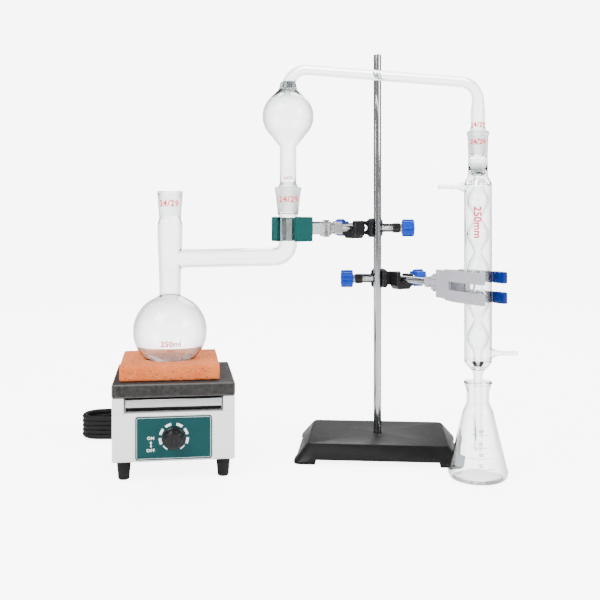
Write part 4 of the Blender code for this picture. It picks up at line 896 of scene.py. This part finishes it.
def lobed_knob(name, node, seat, axis, body):
    """A thumb knob: r = s R (0.905 + 0.095 cos 8a), with s easing in at both rims and a dished face."""
    radius, length, sides = 0.0108, 0.015, 128
    angle = np.arange(sides) * 2 * pi / sides
    flute = 0.905 + 0.095 * np.cos(8 * angle)
    turn = np.linspace(0, pi / 2, 7)
    rim = 0.0016
    rows = [(0.0, 0.0), (0.55, 0.0)] + [(1 - rim / radius * (1 - sin(t)), rim * (1 - cos(t))) for t in turn]
    rows += [(1 - rim / radius * (1 - cos(t)), length - rim * (1 - sin(t))) for t in turn]
    rows += [(0.70, length - 0.0001), (0.62, length - 0.0009), (0.30, length - 0.0012), (0.0, length - 0.0012)]
    round_part = np.array([min(1.0, max(0.0, (s - 0.60) / 0.25)) for s, _ in rows])
    points = []
    for (share, height), lobes in zip(rows, round_part):
        radii = share * radius * (lobes * flute + (1 - lobes) * 0.86)
        points.append(np.stack((radii * np.cos(angle), radii * np.sin(angle), np.full(sides, height)), 1))
    place = Matrix.Translation(seat + axis * GAP) @ along(axis)
    piece = new_piece(name, moved(np.concatenate(points), place), grid_faces(len(rows), sides), 50)
    return dressed(piece, BLUE, body, "blue_plastic", node)


def make_stand():
    """Weighted base, chromed rod, and the two bosses with their screws and knobs."""
    softened("base_casting", "stand_base", 0.0011, "root", BASE_PAINT, "black_cast", 4)
    round_bar("rod", "stand_rod", 0.0048, "root", CHROME, "chrome", 0.0010)
    for node in ("rod_washer", "rod_nut"):
        softened(node + "_plated", node, 0.0003, "root", STEEL, "steel")
    for side in ("upper", "lower"):
        body = f"{side}_clamp"
        cast(f"{side}_boss_casting", f"{side}_boss", 0.00055, 4, body, BLACK_PAINT, "black_cast")
        for kind in ("rod", "shaft"):
            end, axis = threaded(f"{side}_{kind}_thread", f"{side}_{kind}_screw", 0.003, 0.00125,
                                 f"{side}_{kind}_screw_body")
            lobed_knob(f"{side}_{kind}_thumb", f"{side}_{kind}_knob", end, axis, f"{side}_{kind}_knob_body")
        round_bar(f"{side}_shaft_bar", f"{side}_clamp_shaft", 0.004, body, CHROME, "chrome")


def make_clamps():
    """The padded two-jaw clamp on the flask's side tube, and the forked clamp round the condenser."""
    cast("upper_head_casting", "upper_clamp_head", 0.00035, 3, "upper_clamp", STEEL, "steel")
    softened("upper_pin_turned", "upper_jaw_pin", 0.0004, "upper_clamp", BLACK_PAINT, "black_cast")
    cast("lower_head_casting", "lower_clamp_head", 0.00035, 3, "lower_clamp", FORK_PAINT, "grey_cast")
    softened("lower_pin_turned", "lower_jaw_pin", 0.0004, "lower_clamp", STEEL, "steel")
    for side in ("near", "far"):
        cast(f"upper_plate_{side}", f"upper_jaw_{side}", 0.00035, 2, f"upper_jaw_{side}_body", STEEL, "steel")
        cast(f"pad_{side}", f"upper_pad_{side}", 0.00035, 8, f"upper_jaw_{side}_body", TEAL_RUBBER, "teal_rubber")
        cast(f"fork_{side}", f"lower_jaw_{side}", 0.00045, 12, f"lower_jaw_{side}_body", FORK_PAINT, "grey_cast")
    for level in ("lower", "upper"):
        cast(f"sleeve_{level}", f"finger_sleeve_{level}", 0.00035, 16, "lower_jaw_far_body", VINYL, "dark_blue_vinyl")


# ---------------------------------------------------------------- hotplate
HOT = Matrix.Translation((PLATE.x, PLATE.y, 0)) @ Matrix.Rotation(HOTPLATE_TURN, 4, "Z")
CASE_HALF = 0.0675
FACE = CASE_HALF + GAP + 0.0008                       # label's face, out from the middle
DIAL_HEIGHT = 0.047
INK_ON_LABEL = 0.00008
CASE_WALL = 0.0012
GLAND = (0.030, 0.045)                                # gland: across from the middle, and height
GLAND_LENGTH = 0.026


def label_print(name, points, faces, place):
    """Flat print laid on the hotplate's front: x across, y up, just proud of the label."""
    points = np.asarray(points, float)
    laid = np.stack((points[:, 0], np.full(len(points), -FACE - INK_ON_LABEL * 0.5 - 0.00002), points[:, 1]), 1)
    return inked(name, moved(laid, place), list(faces), INK_ON_LABEL, "root", WHITE_PRINT, "teal_label")


def rounded_outline(width, height, corner, steps=8):
    """Points round a rectangle with round corners."""
    points = []
    for sx, sy, start in ((1, 1, 0), (-1, 1, pi / 2), (-1, -1, pi), (1, -1, 3 * pi / 2)):
        for k in range(steps + 1):
            a = start + k * pi / 2 / steps
            points.append((sx * (width / 2 - corner) + corner * cos(a), sy * (height / 2 - corner) + corner * sin(a)))
    return points


def ring_part(radius_in, radius_out, middle_angle, half_angle, steps=14):
    """An arc-shaped bar of print round the origin."""
    angle = np.linspace(middle_angle - half_angle, middle_angle + half_angle, steps + 1)
    inner = np.stack((radius_in * np.cos(angle), radius_in * np.sin(angle)), 1)
    outer = np.stack((radius_out * np.cos(angle), radius_out * np.sin(angle)), 1)
    i = np.arange(steps)
    return np.concatenate((inner, outer)), np.stack((i, i + 1, i + steps + 2, i + steps + 1), 1)


def make_hotplate():
    """Case, plate, tray, label and dial of the hotplate, with the firebrick on top."""
    softened("case_enamelled", "case", 0.0009, "root", WHITE_CASE, "white_enamel", 3)
    softened("cover", "bottom_cover", 0.0003, "root", BLACK_PLASTIC, "black_plastic")
    softened("board", "insulation_board", 0.0004, "root", BLACK_PLASTIC, "black_plastic")
    softened("tray", "reflector_tray", 0.0004, "root", REFLECTOR, "steel")
    softened("plate_cast", "heating_plate", 0.0014, "root", PLATE_IRON, "black_iron", 4)
    softened("regulator_body", "regulator", 0.0003, "root", STEEL, "steel")
    coil_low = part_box("heater_element")[0].z
    turns = np.linspace(0, 5 * 2 * pi, 5 * 40)
    radii = 0.0218 + (0.0442 - 0.0218) * turns / turns[-1]
    path = np.stack((radii * np.cos(turns), radii * np.sin(turns), np.full(len(turns), coil_low + 0.0016)), 1)
    dressed(tube("coil", moved(path, HOT), 0.0014, 16), STEEL, "root", "heater_wire", "heater_element")

    brick = relaxed("brick", "firebrick", 0.0011, 2)
    clouds = bpy.data.textures.new("clouds", "CLOUDS")
    clouds.noise_scale = 0.004
    clouds.noise_depth = 3
    rough = brick.modifiers.new("rough", "DISPLACE")
    rough.texture = clouds
    rough.texture_coords = "LOCAL"
    rough.strength = 0.0007
    rough.mid_level = 0.75
    mesh = evaluated(brick)
    bpy.data.objects.remove(brick)
    dressed(settled("brick_body", mesh, 80), BRICK, "root", "firebrick", "firebrick")

    for count in range(1, 5):
        low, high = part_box(f"foot_{count}")
        centre = (low + high) / 2
        rows = [[0, 0], [0.0054, 0], [0.0060, 0.0005], [0.0064, 0.0020], [0.0068, 0.008], [0.0078, high.z - 0.0022],
                [0.0078, high.z - 0.0004], [0.0074, high.z], [0, high.z]]
        dressed(turned(f"foot_rubber_{count}", rows, 48, place=Matrix.Translation((centre.x, centre.y, 0))),
                BLACK_RUBBER, "root", "black_rubber", f"foot_{count}")

    label_low, label_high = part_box("label_plate")
    height = label_high.z - label_low.z
    width = 0.084
    centre_z = (label_high.z + label_low.z) / 2
    outline = rounded_outline(width, height, 0.0025)
    count = len(outline)
    points = [(x, -CASE_HALF - GAP, centre_z + z) for x, z in outline]
    points += [(x, -FACE, centre_z + z) for x, z in outline]
    faces = [tuple(range(count)), tuple(range(2 * count - 1, count - 1, -1))]
    faces += [(i, (i + 1) % count, count + (i + 1) % count, count + i) for i in range(count)]
    mesh = bpy.data.meshes.new("label")
    mesh.from_pydata(moved(np.array(points), HOT).tolist(), [], faces)
    label = settled("label", mesh, 30)
    hole_place = HOT @ Matrix.Translation((0, -CASE_HALF + 0.01, DIAL_HEIGHT)) @ along((0, -1, 0))
    hole = turned("hole", [[0, 0], [0.0038, 0], [0.0038, 0.02], [0, 0.02]], 32, place=hole_place)
    dressed(carve(label, ("DIFFERENCE", hole)), LABEL_TEAL, "root", "teal_label", "label_plate")

    at = HOT @ Matrix.Translation((0, 0, centre_z))
    inner = rounded_outline(width - 0.0034, height - 0.0034, 0.0018)
    edge = rounded_outline(width - 0.0028, height - 0.0028, 0.0021)
    rim = [(i, (i + 1) % count, count + (i + 1) % count, count + i) for i in range(count)]
    label_print("label_border", inner + edge, rim, at)
    dial = HOT @ Matrix.Translation((0, 0, DIAL_HEIGHT))
    scale = [("wide", side * turn, 13) for side in (-1, 1) for turn in (24, 63, 103)]
    scale += [("thin", side * 138, 12) for side in (-1, 1)]
    for number, (kind, turn, half) in enumerate(scale, 1):
        outside = 0.0166 if kind == "wide" else 0.0150
        points, faces = ring_part(0.0137, outside, pi / 2 + radians(turn), radians(half))
        label_print(f"scale_mark_{number}", points, faces.tolist(), dial)
    for text, x, z in (("ON", -0.0253, 0.0), ("OFF", -0.0253, -0.0134)):
        points, faces = lettering(text, 0.0046, 1.2)
        points = points + [x, z, 0]
        label_print(f"word_{text.lower()}", points, faces.tolist(), dial)
    arrow = np.array([(0, .0036), (.0014, .0016), (.0004, .0016), (.0004, -.0016), (.0014, -.0016), (0, -.0036),
                      (-.0014, -.0016), (-.0004, -.0016), (-.0004, .0016), (-.0014, .0016)])
    label_print("arrow", arrow + [-0.0250, -0.0067], [tuple(range(len(arrow)))], dial)

    knob_place = HOT @ Matrix.Translation((0, -FACE - GAP, DIAL_HEIGHT)) @ along((0, -1, 0))
    depth, radius = 0.013, 0.0122
    turn = np.linspace(0, pi / 2, 7)
    rows = [[0.0036, 0.0074], [0.0036, 0.0002], [0.0040, 0], [radius - 0.0004, 0], [radius, 0.0004],
            [radius, 0.0026], [radius - 0.0004, 0.0031], [radius - 0.0022, 0.0037], [radius - 0.0028, 0.0050],
            [radius - 0.0032, depth - 0.0016]]
    rows += [[radius - 0.0047 + 0.0015 * cos(t), depth - 0.0015 + 0.0015 * sin(t)] for t in turn]
    rows += [[0.0040, depth - 0.0003], [0, depth - 0.0004]]
    knob = turned("dial", [[0, 0.0074]] + rows, 96, place=knob_place)
    grip_mesh = bpy.data.meshes.new("grip")
    grip_outline = rounded_outline(0.0031, 0.0155, 0.0012, 5)
    n = len(grip_outline)
    rings = [(1.0, depth - 0.0050), (1.0, depth + 0.0014), (0.90, depth + 0.0020), (0.62, depth + 0.0022)]
    grip_points = [(x * s, y * (0.5 + 0.5 * s), h) for s, h in rings for x, y in grip_outline]
    grip_faces = [tuple(range(n)), tuple(range(4 * n - 1, 3 * n - 1, -1))]
    grip_faces += [(k * n + i, k * n + (i + 1) % n, (k + 1) * n + (i + 1) % n, (k + 1) * n + i)
                   for k in range(3) for i in range(n)]
    grip_mesh.from_pydata(moved(np.array(grip_points), knob_place).tolist(), [], grip_faces)
    grip = settled("grip", grip_mesh, 40)
    dressed(carve(knob, ("UNION", grip), smooth=35), BLACK_PLASTIC, "dial_body", "black_plastic", "dial_knob")


# ---------------------------------------------------------------- cord
CORD_RADIUS = 0.00325
PLUG_HALF_HEIGHT = 0.0095
HANK = Vector((FLASK.x - 0.0752, FLASK.y + 0.128, 0))
HANK_WIDTH, HANK_RUN, HANK_TURNS = 0.039, 0.070, 5


def smooth_route(points, steps=10):
    """Catmull-Rom curve through points, with steps between each two."""
    points = [Vector(p) for p in points]
    points = [points[0] * 2 - points[1]] + points + [points[-1] * 2 - points[-2]]
    route = []
    for a, b, c, d in zip(points, points[1:], points[2:], points[3:]):
        for k in range(steps):
            t = k / steps
            route.append(0.5 * (2 * b + (c - a) * t + (2 * a - 5 * b + 4 * c - d) * t * t
                                + (3 * b - a - 3 * c + d) * t ** 3))
    return route + [points[-2]]


def make_cord():
    """Mains cord: out of the gland, back to the hank, round it four and a half times, and out to the plug."""
    backwards = (HOT.to_3x3() @ Vector((0, 1, 0))).normalized()
    start = HOT @ Vector((GLAND[0], CASE_HALF - CASE_WALL + GLAND_LENGTH, GLAND[1])) + backwards * GAP
    floor = CORD_RADIUS + GAP
    step = 2 * CORD_RADIUS
    top = floor + step * (HANK_TURNS - 1)
    outer = HANK_WIDTH / 2 + CORD_RADIUS
    meet = HANK_RUN / 2 + sqrt(outer ** 2 - (HANK_WIDTH / 2 - CORD_RADIUS) ** 2) + 3 * GAP
    join = HANK + Vector((meet, HANK_WIDTH / 2, top))
    leave = HANK + Vector((meet, -HANK_WIDTH / 2, floor))
    lead = smooth_route([start, start + backwards * 0.010, start + Vector((-.0037, .0215, -.0014)),
                         start + Vector((-.0087, .0320, -.0040)), start + Vector((-.0162, .0410, -.0074)),
                         start + Vector((-.0257, .0477, -.0112)), join + Vector((.0094, -.0006, .0012)), join])
    half = HANK_WIDTH / 2
    coil = []
    total = HANK_TURNS - 0.5                       # laps, since it leaves on the side away from its start
    perimeter = 2 * HANK_RUN + 2 * pi * half
    count = int(total * 60)
    begin = meet - HANK_RUN / 2
    full = total * perimeter + 2 * begin
    for k in range(1, count):
        way = full * k / count - begin
        share = max(0.0, min(1.0, way / (total * perimeter)))
        lap, along_lap = divmod(max(way, 0.0), perimeter)
        if way < 0:
            x, y = HANK_RUN / 2 - way, half
        elif share >= 1:
            x, y = HANK_RUN / 2 + (way - total * perimeter), -half
        elif along_lap < HANK_RUN:
            x, y = HANK_RUN / 2 - along_lap, half
        elif along_lap < HANK_RUN + pi * half:
            a = pi / 2 + (along_lap - HANK_RUN) / half
            x, y = -HANK_RUN / 2 + half * cos(a), half * sin(a)
        elif along_lap < 2 * HANK_RUN + pi * half:
            x, y = -HANK_RUN / 2 + (along_lap - HANK_RUN - pi * half), -half
        else:
            a = -pi / 2 + (along_lap - 2 * HANK_RUN - pi * half) / half
            x, y = HANK_RUN / 2 + half * cos(a), half * sin(a)
        height = top + (floor - top) * share
        coil.append(Vector((HANK.x + x, HANK.y + y, height)))
    plug_at = leave + Vector((.0262, .0010, PLUG_HALF_HEIGHT + GAP - floor))
    tail = smooth_route([leave, leave + Vector((.0065, .0001, .0006)), leave + Vector((.0130, .0004, .0030)),
                         leave + Vector((.0195, .0007, .0055)), plug_at - Vector((GAP, 0, 0))])
    route = lead + coil + tail
    length = sum((b - a).length for a, b in zip(route, route[1:]))
    curve = bpy.data.curves.new("flex", "CURVE")
    curve.dimensions = "3D"
    spline = curve.splines.new("POLY")
    spline.points.add(len(route) - 1)
    for point, where in zip(spline.points, route):
        point.co = (*where, 1)
    curve.bevel_depth = CORD_RADIUS
    curve.bevel_resolution = 6
    curve.use_fill_caps = True
    cord = linked("flex", curve)
    curve.materials.append(BLACK_RUBBER)
    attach(cord, "root")
    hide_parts("mains_cord", "cord_hank", "cord_tail")
    plug = cast("plug_moulding", "plug", 0.0005, 4, "root", BLACK_RUBBER, "black_rubber")
    tie = cast("tie_band", "cord_tie", 0.0004, 2, "root", BLACK_RUBBER, "black_rubber")
    wide = 0.0080
    rows = [[0, 0], [0.0050, 0], [0.0050, 0.0015], [wide - 0.0004, 0.0015], [wide, 0.0019], [wide, 0.0034],
            [wide - 0.0004, 0.0038], [0.0058, 0.0040]]
    for k in range(6):
        low = 0.0048 + k * 0.0034
        rows += [[0.0056 - 0.00025 * k, low], [0.0056 - 0.00025 * k, low + 0.0022],
                 [0.0048 - 0.00020 * k, low + 0.0025], [0.0048 - 0.00020 * k, low + 0.0032]]
    rows += [[CORD_RADIUS + 0.0006, 0.0258], [CORD_RADIUS + 0.0002, GLAND_LENGTH], [0, GLAND_LENGTH]]
    gland_place = HOT @ Matrix.Translation((GLAND[0], CASE_HALF - CASE_WALL, GLAND[1])) @ along((0, 1, 0))
    dressed(turned("gland", rows, 40, place=gland_place), BLACK_RUBBER, "root", "black_rubber", "cord_gland")


# ---------------------------------------------------------------- camera, light and surroundings
def make_surroundings():
    """A level view from in front, soft white surroundings, and a pale bench top."""
    camera_data = bpy.data.cameras.new("camera")
    camera_data.lens = 55
    camera_data.sensor_width = 36
    camera_data.shift_y = -0.158
    camera = linked("camera", camera_data)
    camera.location = EYE
    camera.rotation_euler = (pi / 2, 0, 0)
    bpy.context.scene.camera = camera

    world = bpy.data.worlds.new("white_room")
    world.use_nodes = True
    tree = world.node_tree
    path = tree.nodes.new("ShaderNodeLightPath")
    total = 0.55                                   # brightness for reflections, and more for each other use
    for ray, more in (("Is Diffuse Ray", 0.95), ("Is Camera Ray", 7.0), ("Is Transmission Ray", 4.2)):
        step = tree.nodes.new("ShaderNodeMath")
        step.operation = "MULTIPLY_ADD"
        tree.links.new(path.outputs[ray], step.inputs[0])
        step.inputs[1].default_value = more
        if isinstance(total, float):
            step.inputs[2].default_value = total
        else:
            tree.links.new(total, step.inputs[2])
        total = step.outputs[0]
    tree.links.new(total, tree.nodes["Background"].inputs["Strength"])
    tree.nodes["Background"].inputs["Color"].default_value = (1, 1, 1, 1)
    bpy.context.scene.world = world
    aim = Vector((0, 0, 0.2))
    for name, place, size, power in (("key", (-0.9, -1.1, 1.5), 0.9, 40), ("fill", (1.3, -0.8, 0.9), 0.7, 15),
                                     ("back", (0.2, 1.3, 1.2), 0.8, 14)):
        data = bpy.data.lights.new(name, "AREA")
        data.size = size
        data.energy = power
        light = linked(name, data)
        light.location = place
        light.rotation_euler = (aim - Vector(place)).to_track_quat("-Z", "Y").to_euler()

    bench_finish = Finish("bench_white", (0.94, 0.94, 0.94), 0.7, Emission_Strength=6.0)
    seen = bench_finish.node("ShaderNodeLightPath", {}, output="Is Camera Ray")
    through = bench_finish.node("ShaderNodeLightPath", {}, output="Is Transmission Ray")
    glow = (seen + through * 0.50).clamp()
    bench_finish.feed("Emission Color", bench_finish.mix(glow, (0, 0, 0, 1), (1, 1, 1, 1)))
    bench = turned("bench", [[0, -0.0004], [3.5, -0.0004], [3.5, -0.02], [0, -0.02]], 96)
    bench.data.materials.append(bench_finish.material)


make_surroundings()
make_cord()
bulb_centre, bulb_radius, flask_rim = make_flask()
make_head()
make_condenser()
receiver_height = make_receiver()
make_prints(bulb_centre, bulb_radius, flask_rim, receiver_height)
make_stand()
make_clamps()
make_hotplate()
